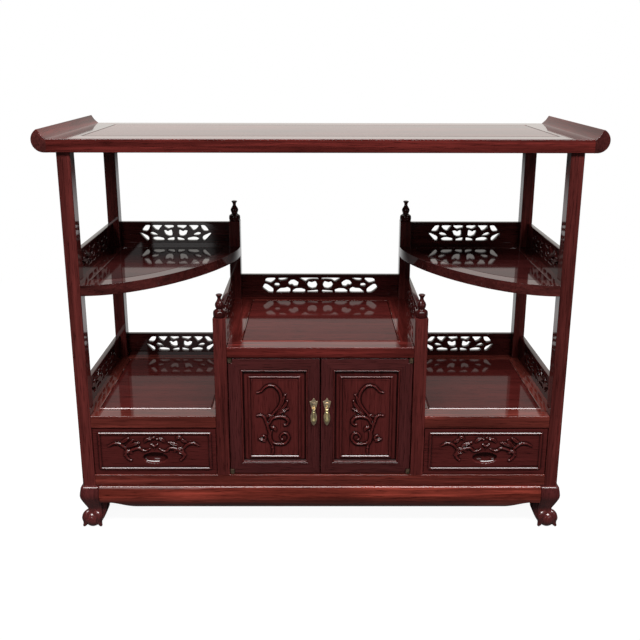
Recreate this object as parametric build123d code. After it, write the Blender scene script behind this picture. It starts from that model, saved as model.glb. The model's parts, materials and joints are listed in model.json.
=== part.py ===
from build123d import *
import os
from math import cos, radians, sin

os.makedirs("parts", exist_ok=True)

# A low rosewood display cabinet: quarter-round shelves with fretted galleries above a cupboard with two
# doors and two drawers, on an apron with ball-and-claw feet. Millimetres, +Z up, front towards -Y.
# The origin is on the floor, under the centre of the cabinet.

# ---------------------------------------------------------------- driving dimensions

# plan of the case
case_w = 990.0            # over the corner posts, left to right
case_d = 330.0            # over the corner posts, front to back
post = 26.0               # square section of every post
centre_clear = 375.0      # between the two middle posts
edge_r = 1.6              # rounding along the edges of posts and rails

# heights, from the floor up
foot_h = 100.3
waist_h = 1.2             # shadow line between the apron and the bottom rail
case_rail_h = 24.5
drawer_opening_h = 107.0
door_opening_h = 261.0
lower_shelf_t = 26.0
centre_shelf_t = 22.0
lower_bay_h = 257.0       # clear height over the lower side shelves
upper_shelf_t = 22.0
upper_bay_h = 260.0       # clear height over the quarter-round shelves
top_t = 26.0

# top board and its end flanges
top_overhang = 6.3        # past the posts, front and back
top_end_out = 15.0        # from the posts to the foot of a flange
top_rail_w = 50.0
top_panel_t = 12.0
flange_w = 28.0
flange_rise = 18.0
flange_ridge = 15.0       # from the foot of a flange to its ridge

# shelves
shelf_rail_w = 36.0
inner_rail_w = 14.0       # rail beside the cupboard wall
centre_side_w = 27.5      # centre shelf's side rail, inside the posts
shelf_panel_t = 10.0
groove_w = 1.6            # V groove between a panel and its frame
curve_start = 0.50        # pull of the shelf's curve at the front post, as a share of its width
curve_end = 0.33          # pull at the back post, as a share of its depth

# galleries
gallery_h = 56.0
gallery_t = 11.0
gallery_r = 1.5
fret_top = 8.0            # solid wood above the piercing
fret_bottom = 11.0        # and below it
fret_end = 43.0           # solid wood at each end
centre_fret_end = 49.0
post_over = 4.0           # a middle post stands above its gallery
finial_h = 48.0
finial_r = 13.0

# case
floor_t = 10.0
floor_drop = 4.0          # below the top of the bottom rails
partition_t = 12.0
side_panel_t = 10.0
side_panel_in = 8.0       # behind the outer faces of the posts
back_panel_t = 8.0

# base
apron_t = 22.0
apron_h = 49.6
apron_bulge = 8.0
ledge = 4.5               # aprons and feet stand out past the case at their upper edge
apron_rise = 13.3         # the lower edge lifts towards the feet
apron_rise_l = 75.0
waist_in = 3.0
foot_in = 34.0            # foot block, inside the posts' outer faces
shoulder_bulge = 7.5
neck_z = 42.0
neck_set = 4.0            # the neck's outer faces, inside the posts' outer faces
stem_out = 10.0           # the plain stem behind the ball, from its outer to its inner faces
stem_in = 38.0
stem_low_in = 26.0
ball_in = 12.0            # axis of the ball
ball_z = 19.5
ball_r = 20.5
claw_r = 23.0
claw_w = 7.0

# doors
door_t = 20.0
front_set = 2.5           # doors and drawers lie behind the front of the posts
door_side_gap = 1.5
door_mid_gap = 2.0        # between the two doors
door_low_gap = 2.0
door_top_gap = 2.5
stile_w = 25.0
sight_chamfer = 2.0
panel_set = 8.0           # plate of the panel behind the door's face
panel_plate_t = 8.0
panel_margin = 12.5       # sunk border around the raised field
field_rise = 5.0
stop_w = 60.0
stop_h = 9.0
stop_t = 9.0
seat_gap = 0.3            # clearance of a piece that rests against another and moves

# door pivots
barrel_r = 4.2
barrel_h = 9.0
barrel_edge = 3.5         # pivot axis from the door's edge
barrel_set = 2.5          # pivot axis behind the door's face
pin_r = 2.0
pin_seat = 6.0            # depth of the pin in the rail
pin_clear = 0.06

# brass pulls
plate_t = 1.6
plate_w = 17.0
plate_h = 62.0
plate_low = 110.0         # bottom of the plate above the bottom of the door
drop_pivot = 37.0         # hinge of the drop above the bottom of the plate
drop_l = 27.0
drop_r = 3.4
drop_out = 5.0            # hinge of the drop in front of the plate
eye_w = 2.4
eye_r = 2.0
eye_pin_r = 0.8
ear_w = 1.2
ear_gap = 0.3

# drawers
drawer_front_t = 18.0
drawer_side_gap = 1.5
drawer_low_gap = 1.5
drawer_top_gap = 2.0
drawer_back_gap = 22.5    # behind a closed drawer, to the back panel
drawer_wall = 9.0
drawer_wall_h = 85.0
drawer_bottom_t = 6.0
drawer_bottom_up = 3.0
bead_in = 12.0            # bead rectangle on the drawer front, from its edges
bead_r = 2.2
runner_w = 16.0
guide_h = 14.0
cup_w = 52.0              # finger scoop, deepest towards its top
cup_h = 28.0
cup_deep = 9.5
cup_lean = 20.0           # degrees that its upper end leans into the wood
cup_up = 36.0             # its middle above the bottom of the drawer front

# fretwork: outlines of the pierced cells in the left half of an opening, in millimetres from its centre,
# for an opening 2 * fret_half wide (2 * long_half for the long one) and 2 * fret_mid high
fret_mid = 18.5
fret_half = 85.0
short_cells = (
    ((-80, 5), (-70, 18.5), (-59, 18.5), (-62, 10), (-67, 4)),
    ((-85, -0.5), (-81, 0), (-66, -7), (-63, -12), (-64, -17.5), (-69, -18.5)),
    ((-55, 16), (-53, 18.5), (-30, 18.5), (-36, 13), (-41, 5.5), (-48, 8)),
    ((-61, -0.5), (-55, 2), (-48, 0), (-40, -6), (-55, -5.5)),
    ((-56, -14), (-50, -10.5), (-42, -9.5), (-28, -12.5), (-27, -18.5), (-50, -18.5)),
    ((-27.5, 18.5), (-3.5, 18.5), (-4.5, 13), (-10, 12), (-18, 9.5), (-25, 14)),
    ((-29, 5.5), (-22.5, 6.5), (-18, 3.5), (-12, 7), (-8.5, 7), (-7.5, -4), (-10, -7.5), (-17, -8), (-24, -5)),
    ((-20, -14.5), (-12, -12), (-3.5, -10.5), (-3.5, -18.5), (-20.5, -18.5)),
)
long_half = 138.5
long_cells = (
    ((-133, 10), (-128, 18), (-107, 18.5), (-108, 13), (-118.5, 5)),
    ((-138.5, -6.5), (-133, 3.5), (-126.5, 2.5), (-112, -8.5), (-113, -18.5), (-123, -18.5)),
    ((-111, 1.5), (-106, 5.5), (-99, 5), (-95.5, 1), (-100, -2.5), (-107, -2)),
    ((-102.5, 17.5), (-74, 18.5), (-86.5, 12.5), (-96, 11.5)),
    ((-77, 5), (-70.5, 12.5), (-62.5, 14), (-51.5, 7.5), (-54, -2), (-62, -3.5), (-67, 1.5), (-73, 0)),
    ((-106, -17), (-96, -7.5), (-85, -7), (-78.5, -4.5), (-71.5, -8.5), (-71.5, -18.5), (-104, -18.5)),
    ((-66.5, -14), (-58, -8), (-45, -7.5), (-35.5, -11), (-36, -18.5), (-65, -18.5)),
    ((-51, 18.5), (-3.5, 18.5), (-3.5, 14.5), (-15, 15), (-28, 14), (-35, 9), (-41, 12.5)),
    ((-31, 2), (-27, 9.5), (-20, 7), (-11, 10.5), (-6.7, 2), (-9.5, -6.5), (-19, -9), (-28, -5)),
    ((-31, -18), (-30, -14), (-18, -13), (-5, -12), (-5, -18)),
)

# ---------------------------------------------------------------- planes worked out from them

x_out = case_w / 2
x_in = x_out - post
x_mid_in = centre_clear / 2
x_mid_out = x_mid_in + post
y_front = -case_d / 2
y_back = case_d / 2
y_front_in = y_front + post
y_back_in = y_back - post

z_rail_low = foot_h + waist_h
z_rail = z_rail_low + case_rail_h
z_lower_low = z_rail + drawer_opening_h
z_lower = z_lower_low + lower_shelf_t
z_centre_low = z_rail + door_opening_h
z_centre = z_centre_low + centre_shelf_t
z_upper_low = z_lower + lower_bay_h
z_upper = z_upper_low + upper_shelf_t
z_top_low = z_upper + upper_bay_h
z_top = z_top_low + top_t
z_floor = z_rail - floor_drop

y_face = y_front + front_set
y_door_back = y_face + door_t
y_back_panel = y_back - (post + back_panel_t) / 2


# ---------------------------------------------------------------- helpers

def block(x0, x1, y0, y1, z0, z1):
    """A plain box between two corners."""
    centre = Pos((x0 + x1) / 2, (y0 + y1) / 2, (z0 + z1) / 2)
    return centre * Box(x1 - x0, y1 - y0, z1 - z0)


def eased(solid, axis, radius=edge_r):
    """Round the edges that run along one axis."""
    return fillet(solid.edges().filter_by(axis), radius)


def prism(points, z0, z1):
    """An upright solid over a polygon in plan."""
    return Pos(0, 0, z0) * extrude(make_face(Polyline(*points, close=True)), z1 - z0)


def right_of(shape):
    """The same piece on the right-hand side."""
    return mirror(shape, about=Plane.YZ)


def behind(shape):
    """The same piece on the back."""
    return mirror(shape, about=Plane.XZ)


def write(node, *pieces):
    """One STEP file per node; a node of several pieces keeps them as separate solids."""
    solids = [solid for piece in pieces for solid in piece.solids()]
    shape = solids[0] if len(solids) == 1 else Compound(children=solids)
    export_step(shape, f"parts/{node}.step")


def write_pair(name, piece):
    """The same piece left and right."""
    write(f"{name}_left", piece)
    write(f"{name}_right", right_of(piece))


def framed_panel(outline, z_face, thickness):
    """A panel flush with its frame, with a chamfer that leaves a V groove around it."""
    panel = prism(outline, z_face - thickness, z_face)
    return chamfer(panel.faces().sort_by(Axis.Z)[-1].edges(), groove_w)


# ---------------------------------------------------------------- posts and finials

def posts():
    corner = eased(block(-x_out, -x_in, y_front, y_front_in, foot_h, z_top_low), Axis.Z)
    write_pair("corner_post_front", corner)
    write_pair("corner_post_back", behind(corner))
    z_mid_front = z_centre + gallery_h + post_over
    mid_front = eased(block(-x_mid_out, -x_mid_in, y_front, y_front_in, z_rail, z_mid_front), Axis.Z)
    write_pair("mid_post_front", mid_front)
    z_mid_back = z_upper + gallery_h + post_over
    mid_back = eased(block(-x_mid_out, -x_mid_in, y_back_in, y_back, z_rail, z_mid_back), Axis.Z)
    write_pair("mid_post_back", mid_back)
    return z_mid_front, z_mid_back


def finial():
    """A turned finial: a ball, a pear-shaped bulb, a neck and a button."""
    r = finial_r
    h = finial_h
    crease = (0.54 * r, 0.36 * h)
    profile = [
        Line((0, 0), (0.68 * r, 0)),
        Spline((0.68 * r, 0), (r, 0.19 * h), crease),
        Spline(crease, (0.66 * r, 0.49 * h), (0.47 * r, 0.62 * h), (0.37 * r, 0.71 * h), (0.43 * r, 0.80 * h),
               (0.54 * r, 0.89 * h), (0.38 * r, 0.97 * h), (0, h)),
        Line((0, h), (0, 0)),
    ]
    face = Plane.XZ * make_face(profile)
    return revolve(face, Axis.Z)


def finials(z_mid_front, z_mid_back):
    x = (x_mid_in + x_mid_out) / 2
    y = (y_back_in + y_back) / 2
    turned = finial()
    places = [(sx * x, sy * y, z) for sy, z in ((-1, z_mid_front), (1, z_mid_back)) for sx in (-1, 1)]
    write("finials", *[Pos(*place) * turned for place in places])


# ---------------------------------------------------------------- top

def top():
    x1 = x_out + top_end_out
    y1 = case_d / 2 + top_overhang
    x0 = x1 - top_rail_w
    y0 = y1 - top_rail_w
    front = prism([(-x1, -y1), (x1, -y1), (x0, -y0), (-x0, -y0)], z_top_low, z_top)
    write("top_rail_front", front)
    write("top_rail_back", behind(front))
    end = prism([(-x1, -y1), (-x0, -y0), (-x0, y0), (-x1, y1)], z_top_low, z_top)
    write("top_end_rails", end, right_of(end))
    outline = [(-x0, -y0), (x0, -y0), (x0, y0), (-x0, y0)]
    write("top_panel", framed_panel(outline, z_top, top_panel_t))
    ridge = (-x1 - flange_ridge, z_top + flange_rise)
    nose = (-x1 - flange_w, z_top - 0.1 * top_t)
    low = (-x1 - flange_w / 6, z_top_low)
    slope = (-x1 - 0.55 * flange_ridge, z_top + 0.42 * flange_rise)
    profile = [
        Line((-x1, z_top_low), (-x1, z_top)),
        ThreePointArc((-x1, z_top), slope, ridge),
        ThreePointArc(ridge, nose, low),
        Line(low, (-x1, z_top_low)),
    ]
    flange = extrude(Plane.XZ.offset(-y1) * make_face(profile), 2 * y1)
    write_pair("top_flange", flange)


# ---------------------------------------------------------------- quarter-round shelves

def shelf_curve(start, end):
    """The front edge of a quarter-round shelf: it leaves start along X and reaches end along Y."""
    (xs, ys), (xe, ye) = start, end
    pull_s = (xs + curve_start * (xe - xs), ys)
    pull_e = (xe, ye - curve_end * (ye - ys))
    return Bezier(start, pull_s, pull_e, end)


def upper_shelf():
    w = shelf_rail_w
    y_panel = y_back - w
    corner = (-x_out + w, y_front + w)
    heel = (-x_mid_in - w, y_panel)
    outer = shelf_curve((-x_in, y_front), (-x_mid_in, y_back_in))
    inner = shelf_curve(corner, heel)
    butt = Polyline((-x_mid_in, y_back_in), (heel[0], y_back_in), heel)
    mitre = Polyline(corner, (-x_in, y_front_in), (-x_in, y_front))
    rail = Pos(0, 0, z_upper_low) * extrude(make_face([outer, inner, butt, mitre]), upper_shelf_t)
    write_pair("upper_shelf_curved_rail", rail)
    back = prism([(-x_in, y_back), (-x_mid_out, y_back), (-x_mid_out, y_back_in), (heel[0], y_back_in),
                  heel, (-x_out + w, y_panel), (-x_in, y_back_in)], z_upper_low, z_upper)
    side = side_rail(w, z_upper_low, z_upper)
    write("upper_shelf_rails_left", back, side)
    write("upper_shelf_rails_right", right_of(back), right_of(side))
    edge = [inner, Polyline(heel, (-x_out + w, y_panel), corner)]
    panel = Pos(0, 0, z_upper - shelf_panel_t) * extrude(make_face(edge), shelf_panel_t)
    panel = chamfer(panel.faces().sort_by(Axis.Z)[-1].edges(), groove_w)
    write_pair("upper_shelf_panel", panel)


def side_rail(w, z0, z1):
    """The outer side rail of a side shelf, between the corner posts, mitred to the front and back rails."""
    return prism([(-x_out, y_front_in), (-x_in, y_front_in), (-x_out + w, y_front + w),
                  (-x_out + w, y_back - w), (-x_in, y_back_in), (-x_out, y_back_in)], z0, z1)


# ---------------------------------------------------------------- lower side shelves and centre shelf

def lower_shelf():
    w = shelf_rail_w
    x_panel = -x_mid_out - inner_rail_w
    front = prism([(-x_in, y_front), (-x_mid_out, y_front), (-x_mid_out, y_front + w),
                   (-x_out + w, y_front + w), (-x_in, y_front_in)], z_lower_low, z_lower)
    side = side_rail(w, z_lower_low, z_lower)
    inner = block(x_panel, -x_mid_out, y_front + w, y_back - w, z_lower_low, z_lower)
    rails = [front, behind(front), side, inner]
    write("lower_shelf_rails_left", *rails)
    write("lower_shelf_rails_right", *[right_of(rail) for rail in rails])
    outline = [(-x_out + w, y_front + w), (x_panel, y_front + w), (x_panel, y_back - w), (-x_out + w, y_back - w)]
    write_pair("lower_shelf_panel", framed_panel(outline, z_lower, shelf_panel_t))


def centre_shelf():
    w = shelf_rail_w
    x_panel = x_mid_in - centre_side_w
    front = prism([(-x_mid_in, y_front), (x_mid_in, y_front), (x_mid_in, y_front_in), (x_panel, y_front + w),
                   (-x_panel, y_front + w), (-x_mid_in, y_front_in)], z_centre_low, z_centre)
    back = behind(front)
    for side in (-1, 1):
        front -= pivot_hole(side, z_centre_low)
    side = prism([(-x_mid_out, y_front_in), (-x_mid_in, y_front_in), (-x_panel, y_front + w),
                  (-x_panel, y_back - w), (-x_mid_in, y_back_in), (-x_mid_out, y_back_in)], z_centre_low, z_centre)
    write("centre_shelf_rails", front, back, side, right_of(side))
    outline = [(-x_panel, y_front + w), (x_panel, y_front + w), (x_panel, y_back - w), (-x_panel, y_back - w)]
    write("centre_shelf_panel", framed_panel(outline, z_centre, shelf_panel_t))


# ---------------------------------------------------------------- galleries

def gallery(length, end, cells, half):
    """A pierced board along X, centred on its length, standing on Z = 0 with its face at Y = 0."""
    board = block(-length / 2, length / 2, 0, gallery_t, 0, gallery_h)
    board = fillet(board.edges().filter_by(Axis.X).sort_by(Axis.Z)[-2:], gallery_r)
    across = (length / 2 - end) / half
    up = (gallery_h - fret_top - fret_bottom) / 2 / fret_mid
    z_mid = fret_bottom + up * fret_mid
    for cell in cells:
        for side in (-1, 1):
            points = [(-side * u * across, z_mid + v * up) for u, v in cell]
            face = Plane.XZ * make_face(Polyline(*points, close=True))
            board -= extrude(face, gallery_t, both=True)
    return board


def galleries():
    x_side = (x_in + x_mid_out) / 2
    y_board = y_back - gallery_t
    back = gallery(x_in - x_mid_out, fret_end, short_cells, fret_half)
    write_pair("upper_back_gallery", Pos(-x_side, y_board, z_upper) * back)
    write_pair("lower_back_gallery", Pos(-x_side, y_board, z_lower) * back)
    centre = gallery(centre_clear, centre_fret_end, long_cells, long_half)
    write("centre_back_gallery", Pos(0, y_board, z_centre) * centre)
    side = Rot(0, 0, 90) * gallery(case_d - 2 * post, fret_end, short_cells, fret_half)
    for name, x, z in (("upper", x_out, z_upper), ("centre", x_mid_out, z_centre), ("lower", x_out, z_lower)):
        left = Pos(-x + gallery_t, 0, z) * side
        write(f"{name}_side_galleries", left, right_of(left))


# ---------------------------------------------------------------- case

def case():
    front = block(-x_in, x_in, y_front, y_front_in, z_rail_low, z_rail)
    back = behind(front)
    for side in (-1, 1):
        front -= pivot_hole(side, z_rail)
    side = block(-x_out, -x_in, y_front_in, y_back_in, z_rail_low, z_rail)
    write("bottom_rails", front, back, side, right_of(side))
    write("floor_board", block(-x_in, x_in, y_front_in, y_back_in, z_floor - floor_t, z_floor))
    wall = block(-x_mid_out, -x_mid_out + partition_t, y_front_in, y_back_in, z_floor, z_centre_low)
    write("partitions", wall, right_of(wall))
    x_panel = -x_out + side_panel_in
    panel = block(x_panel, x_panel + side_panel_t, y_front_in, y_back_in, z_rail, z_lower_low)
    write("case_side_panels", panel, right_of(panel))
    y1 = y_back_panel + back_panel_t
    centre = block(-x_mid_in, x_mid_in, y_back_panel, y1, z_rail, z_centre_low)
    wing = block(-x_in, -x_mid_out, y_back_panel, y1, z_rail, z_lower_low)
    write("back_panels", centre, wing, right_of(wing))
    y_stop = y_door_back + seat_gap
    write("door_stop", block(-stop_w / 2, stop_w / 2, y_stop, y_stop + stop_t, z_centre_low - stop_h, z_centre_low))


# ---------------------------------------------------------------- apron and feet

def apron(length, y_outer):
    """One side of the apron along X: a bulging face, a sunk waist above it and a lifted lower edge."""
    z0 = foot_h - apron_h
    half = length / 2
    y = -y_outer
    profile = [
        Polyline((y + apron_t, z0), (y + apron_t, foot_h), (y - ledge, foot_h)),
        ThreePointArc((y - ledge, foot_h), (y - apron_bulge, z0 + 0.58 * apron_h), (y + 2, z0)),
        Line((y + 2, z0), (y + apron_t, z0)),
    ]
    body = extrude(Plane.YZ.offset(-half) * make_face(profile), length)
    for side in (-1, 1):
        lift = [
            Spline((side * (half - apron_rise_l), z0), (side * (half - 0.25 * apron_rise_l), z0 + apron_rise),
                   tangents=((side, 0), (side, 0))),
            Polyline((side * (half - 0.25 * apron_rise_l), z0 + apron_rise), (side * half, z0 + apron_rise),
                     (side * half, z0 - 1), (side * (half - apron_rise_l), z0 - 1),
                     (side * (half - apron_rise_l), z0)),
        ]
        body -= extrude(Plane.XZ.offset(y_outer + 2 * apron_bulge) * make_face(lift), -4 * apron_t)
    return body


def aprons():
    x_foot = x_out - foot_in
    y_foot = case_d / 2 - foot_in
    long = apron(2 * x_foot, case_d / 2)
    long += block(-x_in, x_in, y_front + waist_in, y_front + apron_t, foot_h, z_rail_low)
    short = apron(2 * y_foot, x_out)
    short += block(y_front_in, y_back_in, -x_out + waist_in, -x_out + apron_t, foot_h, z_rail_low)
    left = Rot(0, 0, -90) * short
    write("aprons", long, behind(long), left, right_of(left))


def square(low, high, z, radius):
    """A level square face with round corners, the same from low to high along X and Y."""
    middle = (low + high) / 2
    return Pos(middle, middle, z) * RectangleRounded(high - low, high - low, radius)


def foot():
    """A ball-and-claw foot for the front left corner, with the posts' outer corner at X = Y = 0."""
    levels = (
        (foot_h, ledge),
        (foot_h - 22, shoulder_bulge),
        (foot_h - 38, 0.45 * shoulder_bulge),
        (neck_z, -neck_set),
    )
    sections = [square(-out, foot_in, z, 5) for z, out in levels]
    shoulder = loft(sections) & block(-post, foot_in, -post, foot_in, 0, foot_h)
    z_stem = foot_h - apron_h + apron_rise
    stem = loft([square(stem_out, stem_low_in, ball_z / 4, 3), square(stem_out, stem_in, z_stem, 3)])
    ball = Sphere(ball_r)
    claws = Sphere(claw_r) & (Box(claw_w, 3 * claw_r, 3 * claw_r) + Box(3 * claw_r, claw_w, 3 * claw_r))
    body = shoulder + stem + Pos(ball_in, ball_in, ball_z) * (ball + claws)
    ground = Pos(ball_in, ball_in, -claw_r) * Box(4 * claw_r, 4 * claw_r, 2 * claw_r)
    return body - ground


def feet():
    front_left = Pos(-x_out, y_front, 0) * foot()
    back_left = behind(front_left)
    write("feet", front_left, right_of(front_left), back_left, right_of(back_left))


# ---------------------------------------------------------------- doors

x_pivot = x_mid_in - door_side_gap - barrel_edge
y_pivot = y_face + barrel_set
z_door = z_rail + door_low_gap
z_door_top = z_centre_low - door_top_gap


def pivot_hole(side, z):
    """The seat of a door's pivot pin in a rail."""
    return Pos(side * x_pivot, y_pivot, z) * Cylinder(pin_r + pin_clear, 2 * pin_seat)


def door():
    x0 = -x_mid_in + door_side_gap
    x1 = -door_mid_gap / 2
    barrels = []
    notches = []
    for z, up, gap in ((z_door, -1, door_low_gap), (z_door_top, 1, door_top_gap)):
        barrel = Pos(-x_pivot, y_pivot, z - up * barrel_h / 2) * Cylinder(barrel_r, barrel_h)
        pin_l = gap + pin_seat - seat_gap
        barrels.append(barrel + Pos(-x_pivot, y_pivot, z + up * pin_l / 2) * Cylinder(pin_r, pin_l))
        z_low, z_high = sorted((z, z - up * barrel_h))
        corner = block(x0 - post, -x_pivot, y_face - post, y_pivot, z_low, z_high)
        notches += [barrel, corner]
    outer = [(x0, z_door), (x1, z_door), (x1, z_door_top), (x0, z_door_top)]
    sight = [(x0 + stile_w, z_door + stile_w), (x1 - stile_w, z_door + stile_w),
             (x1 - stile_w, z_door_top - stile_w), (x0 + stile_w, z_door_top - stile_w)]
    members = []
    for i in range(4):
        j = (i + 1) % 4
        face = make_face(Polyline(outer[i], outer[j], sight[j], sight[i], close=True))
        member = extrude(Plane.XZ.offset(-y_face) * face, -door_t)
        inner_edge = [edge for edge in member.edges()
                      if edge.center().Y < y_face + 0.1 and is_inner(edge, sight[i], sight[j])]
        member = chamfer(inner_edge, sight_chamfer)
        members.append(member - notches)
    write_pair_of("door", "frame", members)
    write_pair_of("door", "pivots", barrels)
    plate = door_slab(sight, 0, y_face + panel_set, panel_plate_t)
    field = door_slab(sight, panel_margin, y_face + panel_set - field_rise, field_rise)
    front_edges = field.edges().filter_by(Plane.XZ).group_by(Axis.Y)[0]
    write_pair_of("door", "panel", [plate + chamfer(front_edges, 1.5)])
    pull(x1 - stile_w / 2)


def is_inner(edge, a, b):
    """Whether an edge lies along the sight line from a to b."""
    centre = edge.center()
    return abs(centre.X - (a[0] + b[0]) / 2) < 0.1 and abs(centre.Z - (a[1] + b[1]) / 2) < 0.1


def door_slab(sight, margin, y0, thickness):
    (x0, z0), (x1, z1) = sight[0], sight[2]
    return block(x0 + margin, x1 - margin, y0, y0 + thickness, z0 + margin, z1 - margin)


def write_pair_of(thing, piece, solids):
    """The same pieces of the left and the right door or drawer."""
    write(f"{thing}_left_{piece}", *solids)
    write(f"{thing}_right_{piece}", *[right_of(solid) for solid in solids])


def pull(x):
    """A brass pull: a crowned back plate with two ears and a pin, and a drop that hangs from the pin."""
    z0 = z_door + plate_low
    w = plate_w / 2
    h = plate_h
    left = [(0, 0), (-0.55 * w, 0.11 * h), (-0.98 * w, 0.32 * h), (-0.62 * w, 0.50 * h), (-0.45 * w, 0.58 * h),
            (-0.55 * w, 0.68 * h), (-w, 0.88 * h), (-0.42 * w, 0.87 * h), (0, h)]
    right = [(-u, v) for u, v in reversed(left[1:-1])]
    outline = [(x + u, z0 + v) for u, v in left + right]
    plate = extrude(Plane.XZ.offset(-y_face) * make_face(Polyline(*outline, close=True)), plate_t)
    y_hinge = y_face - plate_t - drop_out
    z_hinge = z0 + drop_pivot
    ear_x = eye_w / 2 + ear_gap
    for side in (-1, 1):
        xa, xb = sorted((x + side * ear_x, x + side * (ear_x + ear_w)))
        plate += block(xa, xb, y_hinge, y_face - plate_t, z_hinge - eye_r, z_hinge + eye_r)
        plate += Pos((xa + xb) / 2, y_hinge, z_hinge) * Rot(0, 90, 0) * Cylinder(eye_r, ear_w)
    plate += Pos(x, y_hinge, z_hinge) * Rot(0, 90, 0) * Cylinder(eye_pin_r, 2 * ear_x)
    write_pair_of("door", "pull_plate", [plate])
    r = drop_r
    low = drop_l
    profile = [
        Line((0, 0), (0.30 * r, 0)),
        Spline((0.30 * r, 0), (0.36 * r, -0.30 * low), (0.62 * r, -0.52 * low), (r, -0.78 * low),
               (0.62 * r, -0.95 * low), (0, -low)),
        Line((0, -low), (0, 0)),
    ]
    drop = Pos(x, y_hinge, z_hinge) * revolve(Plane.XZ * make_face(profile), Axis.Z)
    drop += Pos(x, y_hinge, z_hinge) * Rot(0, 90, 0) * Cylinder(eye_r, eye_w)
    drop -= Pos(x, y_hinge, z_hinge) * Rot(0, 90, 0) * Cylinder(eye_pin_r + pin_clear, 2 * eye_w)
    write_pair_of("door", "pull_drop", [drop])


# ---------------------------------------------------------------- drawers

def drawer():
    x0 = -x_in + drawer_side_gap
    x1 = -x_mid_out - drawer_side_gap
    z0 = z_rail + drawer_low_gap
    z1 = z_lower_low - drawer_top_gap
    y_box = y_face + drawer_front_t
    y_end = y_back_panel - drawer_back_gap
    front = block(x0, x1, y_face, y_box, z0, z1)
    corners = [(x0 + bead_in, z0 + bead_in), (x1 - bead_in, z0 + bead_in),
               (x1 - bead_in, z1 - bead_in), (x0 + bead_in, z1 - bead_in)]
    (bx0, bz0), (bx1, bz1) = corners[0], corners[2]
    for z in (bz0, bz1):
        front += Pos((bx0 + bx1) / 2, y_face, z) * Rot(0, 90, 0) * Cylinder(bead_r, bx1 - bx0)
    for x in (bx0, bx1):
        front += Pos(x, y_face, (bz0 + bz1) / 2) * Cylinder(bead_r, bz1 - bz0)
    scoop = Rot(-cup_lean, 0, 0) * ellipsoid(cup_w / 2, cup_deep, cup_h / 2)
    front -= Pos((x0 + x1) / 2, y_face, z0 + cup_up) * scoop
    write_pair_of("drawer", "front", [front])
    z_wall = z0 + drawer_wall_h
    wall_l = block(x0, x0 + drawer_wall, y_box, y_end, z0, z_wall)
    wall_r = block(x1 - drawer_wall, x1, y_box, y_end, z0, z_wall)
    inside = (x0 + drawer_wall, x1 - drawer_wall)
    end = block(*inside, y_end - drawer_wall, y_end, z0, z_wall)
    z_bottom = z0 + drawer_bottom_up
    bottom = block(*inside, y_box, y_end - drawer_wall, z_bottom, z_bottom + drawer_bottom_t)
    write_pair_of("drawer", "box", [wall_l, wall_r, end, bottom])
    runners(x0, x1, z0 - seat_gap)


def ellipsoid(rx, ry, rz):
    """A ball squeezed to three radii."""
    return scale(Sphere(1), by=(rx, ry, rz))


def runners(x0, x1, z_seat):
    """Bearing strips under the drawer's two sides, and a guide beside its outer side."""
    x_panel = -x_out + side_panel_in + side_panel_t
    outer = block(-x_in, x0 + runner_w, y_front_in, y_back_in, z_floor, z_seat)
    inner = block(x1 - runner_w, -x_mid_out, y_front_in, y_back_in, z_floor, z_seat)
    guide = block(x_panel, -x_in, y_front_in, y_back_in, z_rail, z_rail + guide_h)
    strips = [outer, inner, guide]
    write("drawer_runners", *strips, *[right_of(strip) for strip in strips])


# ---------------------------------------------------------------- build

finials(*posts())
top()
upper_shelf()
lower_shelf()
centre_shelf()
galleries()
case()
aprons()
feet()
door()
drawer()
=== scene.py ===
# %% [markdown]
# # A rosewood display cabinet
# The cabinet is built as a joiner would build it: posts, framed shelves with floating panels,
# pierced galleries, a case with two doors and two drawers, and a base with ball-and-claw feet. The
# construction is already settled in a frame of solids, so this lesson dresses that frame. Every
# piece sits where its solid sits and rides on the same body, which is why a door and its carving
# swing together.

# %% The frame
import json
import math

import bmesh
import bpy
import numpy as np
from mathutils import Matrix, Vector

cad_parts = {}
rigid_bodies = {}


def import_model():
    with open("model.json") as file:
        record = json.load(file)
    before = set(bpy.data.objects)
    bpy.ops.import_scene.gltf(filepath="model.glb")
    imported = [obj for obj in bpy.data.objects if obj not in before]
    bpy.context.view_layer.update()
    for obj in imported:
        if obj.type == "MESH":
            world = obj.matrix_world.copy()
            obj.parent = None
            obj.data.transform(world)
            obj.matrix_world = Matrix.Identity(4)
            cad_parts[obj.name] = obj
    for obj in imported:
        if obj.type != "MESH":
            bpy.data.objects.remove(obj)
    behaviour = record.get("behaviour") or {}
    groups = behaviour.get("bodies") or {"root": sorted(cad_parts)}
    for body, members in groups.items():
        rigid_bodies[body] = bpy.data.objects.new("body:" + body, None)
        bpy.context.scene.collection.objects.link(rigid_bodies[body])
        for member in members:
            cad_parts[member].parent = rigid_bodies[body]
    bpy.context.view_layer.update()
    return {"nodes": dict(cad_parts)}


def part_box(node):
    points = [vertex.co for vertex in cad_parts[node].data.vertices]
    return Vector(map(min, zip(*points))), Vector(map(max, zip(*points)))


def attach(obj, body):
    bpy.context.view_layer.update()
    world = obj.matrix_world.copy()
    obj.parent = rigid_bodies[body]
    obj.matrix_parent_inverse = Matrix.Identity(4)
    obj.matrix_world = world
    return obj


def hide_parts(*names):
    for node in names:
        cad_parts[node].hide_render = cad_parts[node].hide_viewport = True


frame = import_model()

MM = 0.001

# %% [markdown]
# ## Planes of the joinery
# A joiner marks a few planes on a rod and takes every length from them. Here they come from the
# boxes of the solids, so that a change of the construction moves everything that is dressed later.

# %% Planes taken from the frame
def heights(solid):
    """Bottom and top of a solid's box."""
    return tuple(corner.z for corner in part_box(solid))


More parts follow.
